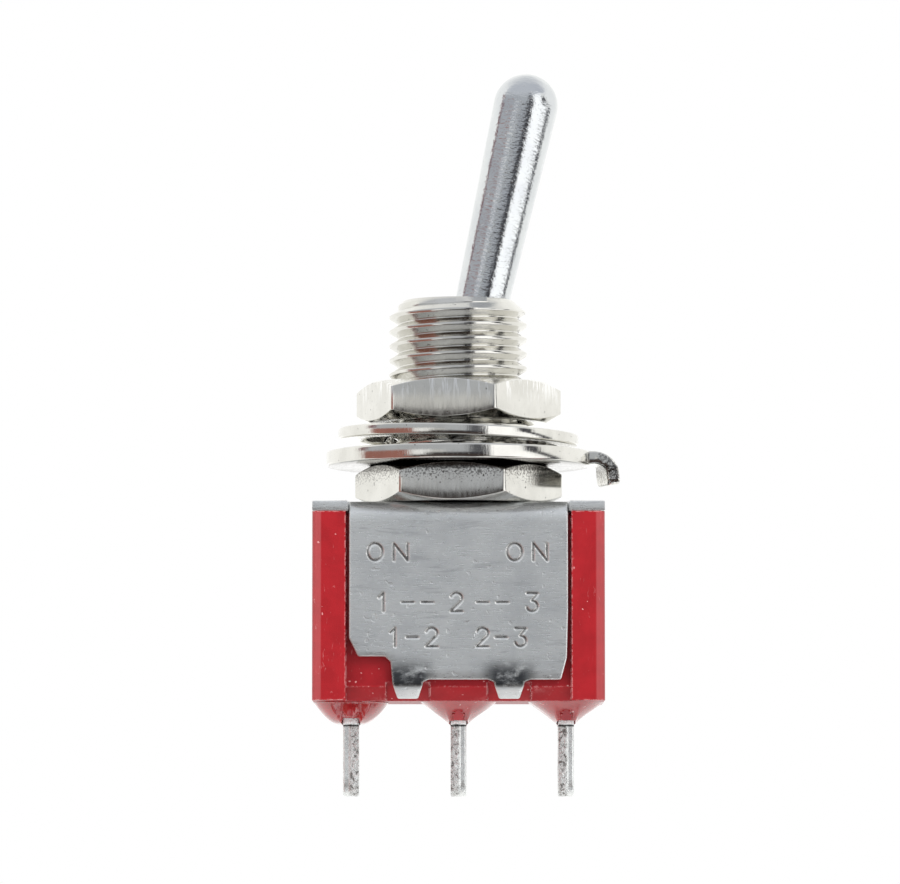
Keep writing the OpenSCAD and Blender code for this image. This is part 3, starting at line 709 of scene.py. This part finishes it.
def glyphs():
    """The letters and digits as polylines in a unit square: O, N, 1, 2 and 3."""
    ring = arc((0.5, 0.5), 0.5, 0, 360, 32)
    letter_n = [(0, 0), (0, 1), (1, 0), (1, 1)]
    one = [(0.2, 0.75), (0.6, 1), (0.6, 0)]
    bow = [(0.5 + 0.48 * x, 0.72 + 0.28 * y) for x, y in arc((0, 0), 1, 160, -35, 11)]
    two = [(0.02, 0.8), *bow, (0, 0), (1, 0)]
    belly = [(0.48 + 0.47 * x, 0.29 + 0.29 * y) for x, y in arc((0, 0), 1, 90, -165, 13)]
    three = [(0.05, 0.98), (0.95, 0.98), (0.45, 0.58), *belly]
    return ring, letter_n, one, two, three


def strokes():
    """Stamped marks on the front plate, as polylines in X and Z."""
    ring, letter_n, one, two, three = glyphs()
    lines = []

    def stamp(glyph, x, z, size):
        lines.append([(x + px * size[0], z + pz * size[1]) for px, pz in glyph])

    z, places = LETTER_ROW
    for x in places:
        stamp(ring, x, z, LETTER_O)
        stamp(letter_n, x + LETTER_STEP, z, LETTER_SIZE)
    digit_rows = (TERMINAL_ROW, (one, two, three)), (PAIR_ROW, (one, two, two, three))
    for (z, places, dashes), digits in digit_rows:
        for digit, x in zip(digits, places):
            stamp(digit, x, z, DIGIT_SIZE)
        lines += [[(x, z + DASH_UP), (x + DASH, z + DASH_UP)] for x in dashes]
    return lines


def stroke_distance(points, lines):
    """Distance of each point from the nearest stroke."""
    nearest = np.full(len(points), np.inf)
    for line in lines:
        line = np.array(line)
        for p, q in zip(line, line[1:]):
            along = np.clip(((points - p) @ (q - p)) / max((q - p) @ (q - p), TINY), 0, 1)
            nearest = np.minimum(nearest, np.linalg.norm(points - p - along[:, None] * (q - p), axis=1))
    return nearest


def frame_outline():
    """The flat pattern: a top with flaps at its ends, and a side plate before and behind."""
    half = side_outline()
    flap = [(FLAP_EDGE, TOP_HALF), (FLAP_EDGE, HALF_DEPTH), (CASE_END, HALF_DEPTH)]
    right = [(x, -y) for x, y in flap] + flap[::-1]
    left = [(-x, y) for x, y in flap] + [(-x, -y) for x, y in flap[::-1]]
    return resample(left[3:] + [(x, -v) for x, v in half[::-1]] + right + half + left[:3], 0.25)


def inner_points(marks):
    """Points inside the pattern: a coarse grid, rows at the bends, and a fine grid at the marks."""
    coarse = [(x, y) for x in np.arange(-6.2, 6.3, COARSE) for y in np.arange(-12.4, 12.5, COARSE)]
    fold = [(x, side * (TOP_HALF + FOLD_ARC * k / 8)) for x in np.arange(-4.7, 4.75, 0.25)
            for k in range(9) for side in (-1, 1)]
    bend = [(x, side * (STRAIGHT + BEND_DROP + BEND_ARC * k / 4)) for k in range(5)
            for x in np.arange(-4.0, 4.1, 0.2) for side in (-1, 1)]
    fine = np.array([(x, y) for x in np.arange(-4.3, 4.3, FINE) for y in np.arange(-10.2, -4.4, FINE)])
    near = stroke_distance(fine, marks) < STROKE_HALF + 2 * FINE
    return coarse + fold + bend + fine[near].tolist()


def make_frame():
    """The folded sheet: its pattern is cut flat, stamped, and folded over the case."""
    marks = [[(x, -(STRAIGHT + FRAME_Z - z)) for x, z in line] for line in strokes()]
    hole = [(x, -y) for x, y in circle(SPIGOT_HOLE, 72)]
    layers = rounded_layers(SHEET_T, SHEET_EDGE)
    points, faces = plate([frame_outline(), hole], layers, inner_points(marks))
    outer = points[:, 2] < TINY
    groove = np.clip(1 - (stroke_distance(points[:, :2], marks) / STROKE_HALF) ** 2, 0, 1)
    points[:, 2] += outer * STROKE_DEPTH * groove
    piece = make_mesh("folded_frame", [folded(*p) for p in points], faces, 40)
    at = np.array([v.co for v in piece.data.vertices]) / MM
    flat = np.stack([at[:, 0], -(STRAIGHT + FRAME_Z - at[:, 2])], 1)
    # Painted shade beside each stroke, shifted to its upper left side, on the front face only
    stroke_shade = np.clip(1.5 - stroke_distance(flat - STROKE_SHADE_SHIFT, marks) / STROKE_SHADE_HALF, 0, 1)
    stroke_shade *= at[:, 1] < SHEET_T / 2 - HALF_DEPTH
    piece.data.attributes.new("stamped", "FLOAT", "POINT").data.foreach_set("value", stroke_shade)
    dress(piece, "root", STEEL, "frame")


# Bushing

THREAD_R = 3.05
THREAD_ROOT = 2.66
PITCH = 0.635
CREST_W = 0.13
ROOT_W = 0.05
# Height of a crest on the -X side, from which the thread's turns are placed
CREST_LEFT = 2.89
TURNS = 17
COLUMNS = 144
LEAD_H = 0.55
RIM_R = 2.42
MOUTH_R = 2.30
NECK_R = 1.65
BALL_BORE = 2.05
SEAT_DROP = 1.0
SPIGOT_BORE = 2.34
SPIGOT_R = 2.50
LIP_R = 2.63
LIP_T = 0.25
LIP_Z = FRAME_Z - 0.70
KEYWAY_R = 2.62
KEYWAY_HALF = 0.5
KEYWAY_END = 0.05
# Half width and reach of the slots for the cross pin
PIN_SLOT = (0.45, 2.45)


def thread_section():
    """Points of one pitch of thread as (share of the pitch, radius), and the crest's share."""
    flank = (PITCH - CREST_W - ROOT_W) / 2
    line = [(0, THREAD_ROOT), (flank, THREAD_R), (flank + CREST_W, THREAD_R),
            (2 * flank + CREST_W, THREAD_ROOT), (PITCH, THREAD_ROOT)]
    eased = fillet(line, [0, 0.06, 0.06, 0.04, 0], 3)
    return [(p / PITCH, r) for p, r in eased[:-1]], (flank + CREST_W / 2) / PITCH


def outer_radius(z, r, angle):
    """Radius of the bushing's outside: the thread, less the lead-in bevel and the keyway."""
    bevel = RIM_R + (THREAD_R - RIM_R) * (BUSHING_TOP - z) / LEAD_H
    r = min(r, max(bevel, RIM_R))
    if abs(r * sin(angle)) < KEYWAY_HALF and cos(angle) > 0 and z < BUSHING_TOP - KEYWAY_END:
        r = min(r, KEYWAY_R / cos(angle))
    return r


def helix(angles):
    """Points and faces of the thread. A row of points rises by one pitch to the next turn's row."""
    section, crest = thread_section()
    count = len(section)
    first = CREST_LEFT - PITCH * (TURNS - 3 + crest + 0.5)
    points, faces = [], []
    for k in range(TURNS * count):
        share, r = section[k % count]
        for a in angles:
            z = first + PITCH * (k // count + share + a / (2 * pi))
            z = min(max(z, FRAME_Z), BUSHING_TOP)
            q = outer_radius(z, r, a)
            points.append((q * cos(a), q * sin(a), z))
    for k in range((TURNS - 1) * count - 1):
        for c in range(COLUMNS - 1):
            a = k * COLUMNS + c
            faces.append((a, a + 1, a + COLUMNS + 1, a + COLUMNS))
        a = k * COLUMNS + COLUMNS - 1
        b = (k + count) * COLUMNS
        faces.append((a, b, b + COLUMNS, a + COLUMNS))
    return points, faces


def bore_radius(z, r, angle):
    """Radius of the bushing's inside, with the slots for the cross pin's ends."""
    along, across = abs(sin(angle)), abs(cos(angle))
    if z < PIVOT_Z and r <= SPIGOT_BORE and r * across < PIN_SLOT[0] and along > 0.9:
        return max(r, PIN_SLOT[1] / along)
    return r


def make_bushing():
    """Bushing with a helical thread outside, and the mouth, ball seat and pin slots inside."""
    angles = np.linspace(0, 2 * pi, COLUMNS, endpoint=False)
    points, faces = helix(angles)
    shoulder = BALL_BORE * math.sqrt(2)
    seat_z = PIVOT_Z - SEAT_DROP
    neck = fillet([(RIM_R, BUSHING_TOP), (MOUTH_R, BUSHING_TOP), (NECK_R, PIVOT_Z + shoulder - NECK_R),
                   (BALL_BORE, PIVOT_Z + shoulder - BALL_BORE), (BALL_BORE, seat_z),
                   (SPIGOT_BORE, seat_z - (SPIGOT_BORE - BALL_BORE)), (SPIGOT_BORE, LIP_Z)],
                  [0, 0.10, 0.3, 0.6, 0, 0, 0], 5)
    foot = [(LIP_R, LIP_Z), (LIP_R, LIP_Z + LIP_T), (SPIGOT_R, LIP_Z + LIP_T), (SPIGOT_R, FRAME_Z),
            (THREAD_R, FRAME_Z)]
    base = len(points)
    for r, z in neck + foot:
        radii = [bore_radius(z, r, a) for a in angles]
        points += [(q * cos(a), q * sin(a), z) for q, a in zip(radii, angles)]
    faces += [tuple(base + i for i in f) for f in grid_faces(len(neck + foot), COLUMNS)]
    piece = make_mesh("threaded_bushing", points, faces, 40)
    dress(piece, "root", NICKEL, "bushing")


# Lever

REACH = 13.75
TIP_R = 1.42
BAT_ROOT = 1.05
BAT_FOOT = 2.2
BALL_R = 2.00
NECK_JOIN = 1.08
TAIL_L = 6.10
TAIL_R = 1.15
TAIL_BORE = 0.85
SPRING_SEAT = 0.70


def make_lever():
    """The turned lever: round tip, tapered bat, ball, and the tail that holds the spring."""
    slope = math.degrees(math.asin((TIP_R - BAT_ROOT) / REACH))
    tip = arc((0, REACH), TIP_R, 90, -slope, 24)
    join = math.degrees(math.asin(NECK_JOIN / BALL_R))
    ball = arc((0, 0), BALL_R, 90 - join, -math.degrees(math.acos(TAIL_R / BALL_R)), 24)
    bat = [(BAT_ROOT + (TIP_R - BAT_ROOT) * z / REACH, z) for z in np.linspace(REACH - 0.6, BAT_FOOT, 24)]
    tail = fillet([(TAIL_R, -BALL_R), (TAIL_R, -TAIL_L), (TAIL_BORE, -TAIL_L), (TAIL_BORE, -SPRING_SEAT),
                   (0, -SPRING_SEAT)], [0, 0.12, 0.1, 0.05, 0])
    piece = make_mesh("bat_lever", *lathe(tip + bat + ball + tail, 96), 35)
    thrown = Matrix.Rotation(radians(THROW), 4, "Y")
    piece.data.transform(Matrix.Translation((0, 0, PIVOT_Z * MM)) @ thrown)
    dress(piece, "lever", CHROME, "lever")


# Spring


def make_spring():
    """The coil spring, copied from its CAD node and carried with the lever."""
    piece = cad_copy("spring", "coil_spring")
    shade(piece.data, 50)
    dress(piece, "lever", SPRING, "spring")
    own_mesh(piece)


# Nuts

NUT_AF = 7.94
NUT_BEVEL = 28
NUT_FACE = NUT_AF / 2 - 0.10
NUT_BORE = 3.10
NUT_SINK = 0.25
NUT_EDGE = 0.22


def make_nut(name, node, body, turn):
    """A hexagon nut with conical bevels, eased edges and a countersunk bore."""
    low, high = box_mm(node)
    t = high[2] - low[2]
    corner = NUT_AF / 2 / cos(pi / 6)
    outline = resample(fillet(circle(corner, 6), NUT_EDGE, 6, closed=True), 0.12)
    columns = []
    for x, y in outline:
        r = hypot(x, y)
        drop = (r - NUT_FACE) * math.tan(radians(NUT_BEVEL))
        section = fillet([(NUT_BORE, t / 2), (NUT_BORE, NUT_SINK), (NUT_BORE + NUT_SINK, 0), (NUT_FACE, 0),
                          (r, drop), (r, t - drop), (NUT_FACE, t), (NUT_BORE + NUT_SINK, t),
                          (NUT_BORE, t - NUT_SINK), (NUT_BORE, t / 2)],
                         [0, 0.05, 0.05, 0.10, 0.05, 0.05, 0.10, 0.05, 0.05, 0], 3)
        columns.append([(x / r * q, y / r * q, low[2] + z) for q, z in section])
    points = [point for row in zip(*columns) for point in row]
    piece = make_mesh(name, points, grid_faces(len(columns[0]), len(columns)), 28)
    piece.data.transform(Matrix.Rotation(radians(turn), 4, "Z"))
    dress(piece, body, NICKEL, node)


# Washers

WASHER_BORE = 3.20
LOCK_R = 5.28
LOCK_RIM = 4.25
LOCK_T = 0.50
# Height of the lock washer's middle above the locating washer
LOCK_UP = 0.625
LOCK_TEETH = 10
LOCK_TWIST = 15
LOCK_LEAN = 1.7
TOOTH_HALF = 0.5
TOOTH_FLARE = 0.06
TOOTH_REACH = 0.05
LOCATING_R = 5.80
TONGUE_HALF = 0.41
TONGUE_R = KEYWAY_R + 0.09
TAB_START = 5.4
TAB_HALF = 0.8
TAB_T = 0.55
TAB_BEND_R = 0.90
TAB_BEND_X = 5.92
TAB_LEAN = 7
TAB_DROP = 1.65
TAB_TWIST = 17


def make_lock_washer():
    """Internal-tooth lock washer: a stamped ring whose teeth are twisted out of its plane."""
    inner = []
    pitch = 2 * pi / LOCK_TEETH
    tip_r = WASHER_BORE + TOOTH_REACH
    half_tip, half_root = TOOTH_HALF / tip_r, (TOOTH_HALF + TOOTH_FLARE) / LOCK_RIM
    for i in range(LOCK_TEETH):
        mid = (i + 0.5) * pitch
        gap = [(LOCK_RIM, mid - pitch + half_root + (pitch - 2 * half_root) * k / 6) for k in range(7)]
        tooth = [(tip_r, mid - half_tip), (tip_r, mid), (tip_r, mid + half_tip)]
        inner += [(r * cos(a), r * sin(a)) for r, a in gap + tooth]
    inner = resample(fillet(inner[::-1], 0.12, 3, closed=True), 0.2)
    extra = [(r * cos(a), r * sin(a)) for r in np.arange(3.4, 5.2, 0.2)
             for a in np.linspace(0, 2 * pi, 120)]
    points, faces = plate([circle(LOCK_R, 160), inner], rounded_layers(LOCK_T, 0.09), extra)
    placed = []
    for x, y, depth in points:
        r, a = hypot(x, y), math.atan2(y, x)
        mid = (math.floor(a / pitch) + 0.5) * pitch
        share = limit((LOCK_RIM + 0.12 - r) / 0.35)
        twist = radians(LOCK_TWIST) * share * share * (3 - 2 * share)
        along, across = r * cos(a - mid), r * sin(a - mid)
        height = LOCK_T / 2 - depth
        across, height = (across * cos(twist) - height * sin(twist),
                          across * sin(twist) + height * cos(twist))
        placed.append((along * cos(mid) - across * sin(mid),
                       along * sin(mid) + across * cos(mid), height))
    piece = make_mesh("lock_washer_plated", placed, faces, 35)
    leaning = Matrix.Rotation(radians(LOCK_LEAN), 4, "Y")
    piece.data.transform(Matrix.Translation((0, 0, (LOCATING_TOP + LOCK_UP) * MM)) @ leaning)
    dress(piece, "lock_washer", NICKEL, "lock_washer")


def arc_beside(radius, half_width, steps):
    """Points of a circle of that radius, less its stretch within half_width of the X axis at +X."""
    start = math.asin(half_width / radius)
    return around(radius, np.linspace(start, 2 * pi - start, steps))


def bent_tab(x, y, depth, bend_len):
    """Place of a point of the flat locating washer, with its tab thinned, bent down and twisted."""
    if abs(y) > TAB_HALF + 0.01 or x < TAB_START:
        return x, y, LOCATING_TOP - depth
    depth *= 1 - limit((x - TAB_START - 0.1) / 0.5) * (1 - TAB_T / LOCATING_T)
    beyond = x - TAB_BEND_X
    if beyond <= 0:
        return x, y, LOCATING_TOP - depth
    a = min(beyond, bend_len) / TAB_BEND_R
    r = TAB_BEND_R - depth
    rest = max(0.0, beyond - bend_len)
    lean = radians(TAB_LEAN)
    twist = radians(TAB_TWIST) * min(1.0, beyond / bend_len)
    out = r * sin(a) + rest * sin(lean)
    drop = TAB_BEND_R - r * cos(a) + rest * cos(lean)
    return TAB_BEND_X + out - y * sin(twist), y * cos(twist), LOCATING_TOP - drop


def make_locating_washer():
    """Flat washer with a tongue in the keyway and a locating tab bent down at its edge."""
    bend_len = TAB_BEND_R * radians(90 - TAB_LEAN)
    tab_end = TAB_BEND_X + bend_len + (TAB_DROP - TAB_BEND_R) / cos(radians(TAB_LEAN)) - 0.1
    rim = arc_beside(LOCATING_R, TAB_HALF, 150)
    tab = fillet([rim[-1], (tab_end, -TAB_HALF), (tab_end, TAB_HALF), rim[0]], [0, 0.25, 0.25, 0], 5)
    outline = resample(rim[:-1] + tab[:-1], 0.25)
    bore = arc_beside(WASHER_BORE, TONGUE_HALF, 90) + [(TONGUE_R, -TONGUE_HALF), (TONGUE_R, TONGUE_HALF)]
    extra = [(x, y) for x in np.arange(5.3, 9.0, 0.08) for y in np.arange(-0.75, 0.8, 0.15)]
    points, faces = plate([outline, bore[::-1]], rounded_layers(LOCATING_T, 0.10), extra)
    placed = [bent_tab(*p, bend_len) for p in points]
    piece = make_mesh("locating_washer_plated", placed, faces, 35)
    dress(piece, "root", NICKEL, "locating_washer")


# Terminals

TERMINAL_PITCH = 4.70
BLADE_T = 0.68
BLADE_HALF = 1.00
SHOULDER_HALF = 1.22
SHOULDER_Z = BASE_Z - SEAL_H - 0.02
CUT_Z = BASE_Z + 0.4
KEPT_Z = BASE_Z + 0.3
HOLE_R = 0.50
HOLE_UP = 1.35
FOOT_R = 0.70
SHEAR = 0.42


def ragged(depth, ease, seed):
    """Inset of each point of a loop at a depth into the blade, rougher where the metal tore."""
    torn = max(0.0, depth / BLADE_T - SHEAR) / (1 - SHEAR)

    def at(loop):
        out = []
        for u, v in loop:
            rough = noise.noise(Vector((u * 5 + seed, v * 5, depth * 7)))
            fine = noise.noise(Vector((u * 14, v * 14 + seed, depth * 16)))
            out.append(ease + torn * (0.025 + 0.05 * rough + 0.04 * fine))
        return out
    return at


def make_terminal(name, node, x, side, seed):
    """A punched terminal: its own upper part, and a blade with a ragged edge that faces side."""
    half = [(SHOULDER_HALF, CUT_Z), (SHOULDER_HALF, SHOULDER_Z), (BLADE_HALF, SHOULDER_Z),
            (BLADE_HALF, LUG_Z)]
    outline = [(-u, v) for u, v in half] + half[::-1]
    radii = [0, 0.05, 0.05, FOOT_R, FOOT_R, 0.05, 0.05, 0]
    outline = resample(fillet(outline, radii, 8, closed=True), 0.06)
    hole = [(u, LUG_Z + HOLE_UP - v) for u, v in circle(HOLE_R, 48)]
    layers = []
    for depth in np.linspace(0, BLADE_T, 15):
        ease = 0.05 * (1 - min(1.0, min(depth, BLADE_T - depth) / 0.07)) ** 2
        layers.append((depth, ragged(depth, ease, seed)))
    extra = [(u, v) for u in np.arange(-0.9, 1.0, 0.15) for v in np.arange(LUG_Z, CUT_Z, 0.15)]
    points, faces = plate([outline, hole], layers, extra)
    placed = [(x + side * (depth - BLADE_T / 2), u * side, v) for u, v, depth in points]
    piece = make_mesh(name, placed, faces, 38)
    keep_above(piece, node, KEPT_Z)
    torn = piece.data.attributes.new("torn", "FLOAT", "POINT")
    for i, vertex in enumerate(piece.data.vertices):
        depth = side * (vertex.co.x / MM - x) / BLADE_T + 0.5
        torn.data[i].value = limit((depth - SHEAR + 0.05) / 0.15)
    dress(piece, "root", TINNED, node)


def keep_above(piece, node, level):
    """Adds the part of a CAD node above a level to a piece."""
    bm = bmesh.new()
    bm.from_mesh(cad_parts[node].data)
    bmesh.ops.remove_doubles(bm, verts=bm.verts, dist=WELD * MM)
    geometry = bm.verts[:] + bm.edges[:] + bm.faces[:]
    cut = bmesh.ops.bisect_plane(bm, geom=geometry, plane_co=(0, 0, level * MM), plane_no=(0, 0, -1),
                                 clear_outer=True)
    rim = [e for e in cut["geom_cut"] if isinstance(e, bmesh.types.BMEdge)]
    bmesh.ops.edgeloop_fill(bm, edges=rim)
    bm.from_mesh(piece.data)
    bm.to_mesh(piece.data)
    bm.free()
    shade(piece.data, 38)


# Seals

SEAL_LEN = 3.28
SEAL_DEPTH = 4.60
SEAL_POWER = 2.6
SEAL_COLUMNS = 144
SEAL_RINGS = 40
SLOT = (BLADE_T / 2 + 0.03, SHOULDER_HALF + 0.03)
RIB_Y = 1.86
RIB_HALF = 0.22
FLAT_HALF = 0.40
# Height of the flat in front of the terminal, by whether the seal has a crater
FLAT_CAP = {True: 0.75, False: 0.86}
# Spots on the resin as (centre, half size, depth or height), with heights as shares of SEAL_H
CRATER = ((0.0, -2.15), (0.78, 0.72), 0.60)
BEAD = ((0.0, -1.78), (0.30, 0.26), 0.42)


def away(px, py, spot):
    """Distance of a point from a spot's centre, as a share of the spot's own size."""
    (x, y), (width, length), _ = spot
    return hypot((px - x) / width, (py - y) / length)


def seal_height(px, py, t, crater, flow):
    """Height of the resin as a share of SEAL_H, where t runs from the terminal out to the rim."""
    h = 1 - t ** 2.0 if crater else (1 - t) ** 1.05
    h = limit(h + 0.05 * flow * t * (1 - t) * 4)
    cap = FLAT_CAP[crater] if py < 0 and abs(px) < FLAT_HALF else 1.0
    h = min(h, cap)
    if crater and py < 0:
        h -= CRATER[2] * max(0.0, 1 - away(px, py, CRATER) ** 3)
        h += BEAD[2] * math.exp(-away(px, py, BEAD) ** 4)
        h = min(cap, max(0.04, h))
    return max(0.0, h)


def make_seal(name, node, x, crater):
    """A mound of sealing resin around a terminal, with a rib or a crater at the terminal's front."""
    points = []
    for k in range(SEAL_RINGS + 1):
        t = k / SEAL_RINGS
        for c in range(SEAL_COLUMNS):
            a = 2 * pi * c / SEAL_COLUMNS
            ray = (cos(a), sin(a))
            inner = min(s / max(abs(d), 1e-6) for s, d in zip(SLOT, ray))
            shares = [abs(d / (s / 2)) for s, d in zip((SEAL_LEN, SEAL_DEPTH), ray)]
            outer = sum(s ** SEAL_POWER for s in shares) ** (-1 / SEAL_POWER)
            r = inner + (outer - inner) * t
            px, py = r * ray[0], r * ray[1]
            flow = noise.noise(Vector((px * 1.1 + x, py * 1.1, 4.0)))
            h = seal_height(px, py, t, crater, flow)
            if not crater and k > 0 and -RIB_Y < py < 0 and abs(px) < RIB_HALF:
                py = -RIB_Y + 0.02 * t
            points.append((x + px, py, BASE_Z - SEAL_H * h))
    for ring in (SEAL_RINGS, 0):
        row = points[ring * SEAL_COLUMNS:(ring + 1) * SEAL_COLUMNS]
        points += [(px, py, BASE_Z + 0.02) for px, py, _ in row]
    points += points[:SEAL_COLUMNS]
    piece = make_mesh(name, points, grid_faces(SEAL_RINGS + 4, SEAL_COLUMNS), 40)
    dress(piece, "root", RESIN, node)


# Floor, light and camera

def studio_tone(g):
    """Colour of the studio that glossy rays see: bands by azimuth and height, the front at 0."""
    way = g.add("TexCoord", output="Generated")
    x, y, z = (g.part(way, k) for k in range(3))
    turn = g.times(g.math("ARCTAN2", x, g.times(y, -1.0)), math.degrees(1))
    below_top = g.step(z, 0.55, 0.60, 1.0, 0.0)
    below_eye = g.step(z, 0.10, 0.14, 1.0, 0.0)
    dark = g.math("MINIMUM", g.math("MAXIMUM", g.plus(72.0, g.times(z, -125.0)), 60.0), 86.0)
    tone = (1.12, 1.12, 1.10)
    for low, high, soft, height, colour in (
            # The front wall, with a maroon and a brick panel, a white gap and a pale edge
            (-90.0, 28.0, 2.0, below_top, (0.50, 0.52, 0.55)),
            (-98.0, -88.0, 2.0, g.band(z, 0.15, 0.45, 0.02), (0.22, 0.11, 0.12)),
            (-92.0, -44.0, 2.0, below_eye, (0.36, 0.16, 0.13)),
            (-44.0, -24.0, 2.0, below_eye, WHITE),
            (-26.0, -13.0, 4.0, g.step(z, 0.09, 0.11, 1.0, 0.0), (0.66, 0.66, 0.65)),
            # A dark table edge, a dark post, a bright lamp, and a dark wall that leans
            (-28.0, 27.0, 1.5, g.band(z, -0.5, -0.03, 0.02), (0.05, 0.045, 0.045)),
            (10.0, 27.0, 2.5, g.times(below_top, 0.85), (0.05, 0.05, 0.06)),
            (27.0, dark, 1.0, below_top, (1.4, 1.4, 1.4)),
            (dark, g.plus(dark, 16.0), 1.5, g.step(z, 0.40, 0.45, 1.0, 0.0), (0.06, 0.06, 0.07)),
            # The dark table below, which reaches less high to the right
            (-44.0, 27.0, 2.0, g.band(z, -0.70, -0.12, 0.04), (0.06, 0.045, 0.04)),
            (27.0, 62.0, 2.0, g.band(z, -0.75, -0.40, 0.03), (0.06, 0.045, 0.04))):
        tone = g.mix(g.times(g.band(turn, low, high, soft), height), tone, colour)
    behind = g.times(g.step(g.absolute(turn), 135.0, 155.0), g.band(z, -0.11, -0.04, 0.015))
    tone = g.mix(behind, tone, (1.5, 1.5, 1.5))
    tone = g.mix(g.step(z, 0.60, 1.0), tone, (0.80, 0.81, 0.83))
    over_front = g.times(g.step(y, 0.25, -0.15), g.step(z, 0.56, 0.62))
    return g.mix(over_front, tone, (0.62, 0.64, 0.69))


def make_world():
    """A white surround for the camera, and a plain soft studio for light and reflections."""
    world = bpy.data.worlds.new("studio")
    bpy.context.scene.world = world
    world.use_nodes = True
    g = Graph(world)
    studio = g.add("Background", {"Color": studio_tone(g), "Strength": 1.0})
    plain = g.add("Background", {"Color": (0.62, 0.62, 0.62, 1), "Strength": 1.0})
    white = g.add("Background", {"Color": (*WHITE, 1), "Strength": 1.0})
    glossy = g.add("LightPath", output="Is Glossy Ray")
    camera = g.add("LightPath", output="Is Camera Ray")
    lit = g.add("MixShader", {0: glossy, 1: plain, 2: studio})
    g.finish(g.add("MixShader", {0: camera, 1: lit, 2: white}), "OutputWorld")


LAMP_TARGET = (0, 0, -4)


def make_lamp(name, place, size, power):
    """A rectangular lamp turned to the part, which reflections don't show."""
    light = bpy.data.lights.new(name, "AREA")
    light.shape = "RECTANGLE"
    light.size, light.size_y = (s * MM for s in size)
    light.energy = power
    lamp = new_piece(name, light)
    lamp.location = Vector(place) * MM
    lamp.rotation_euler = (Vector(LAMP_TARGET) - Vector(place)).to_track_quat("-Z", "Y").to_euler()
    lamp.visible_glossy = False


FLOOR_Z = -24.0
FLOOR_HALF = 3000


def make_floor():
    """A pale floor, clear from below so that the part's underside can be seen."""
    material, g = new_material("pale_floor")
    pale = g.mix(g.noise(g.place(), 0.02), (0.86, 0.86, 0.86), (0.90, 0.90, 0.90))
    sheet = g.add("BsdfPrincipled", {"Base Color": pale, "Roughness": 0.7})
    under = g.add("NewGeometry", output="Backfacing")
    clear = g.add("BsdfTransparent")
    g.finish(g.add("MixShader", {0: under, 1: sheet, 2: clear}))
    mesh = bpy.data.meshes.new("floor")
    r = FLOOR_HALF * MM
    mesh.from_pydata([(-r, -r, 0), (r, -r, 0), (r, r, 0), (-r, r, 0)], [], [(0, 1, 2, 3)])
    mesh.materials.append(material)
    floor = new_piece("floor", mesh)
    floor.location.z = FLOOR_Z * MM
    floor.visible_glossy = False


SENSOR = 36
LENS = 242.6
CAMERA_PLACE = (-0.37, -266.0, -22.55)
CAMERA_TILT = 4.3


def make_camera():
    """A long lens a little below the case, looking slightly up at the front."""
    data = bpy.data.cameras.new("camera")
    data.sensor_width = SENSOR
    data.lens = LENS
    data.clip_start = 0.01
    camera = new_piece("camera", data)
    camera.location = Vector(CAMERA_PLACE) * MM
    camera.rotation_euler = (radians(90 + CAMERA_TILT), 0, 0)
    bpy.context.scene.camera = camera


INNER_PIECES = {
    "pivot_pin": NICKEL, "plunger": PLUNGER, "rocker": ROCKER,
    "contact_left": SILVER, "contact_right": SILVER,
    "rocker_contact_left": SILVER, "rocker_contact_right": SILVER,
}

make_camera()
make_case()
make_frame()
make_bushing()
make_lever()
make_spring()
make_nut("upper_hex_nut", "upper_nut", "upper_nut", turn=-9.7)
make_nut("lower_hex_nut", "lower_nut", "root", turn=-4.0)
make_lock_washer()
make_locating_washer()
for k, place in ((-1, "left"), (0, "common"), (1, "right")):
    x = k * TERMINAL_PITCH
    make_terminal("terminal_blade_" + place, "terminal_" + place, x, 1 if k < 0 else -1, seed=k * 3.7)
    make_seal("resin_seal_" + place, "seal_" + place, x, crater=k < 0)
for node, material in INNER_PIECES.items():
    paint(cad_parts[node], material)
make_floor()
make_world()
make_lamp("key", (180, -260, 260), (220, 220), 0.9)
make_lamp("fill", (-220, -200, 60), (220, 260), 0.4)
bpy.context.scene.view_settings.view_transform = "Standard"
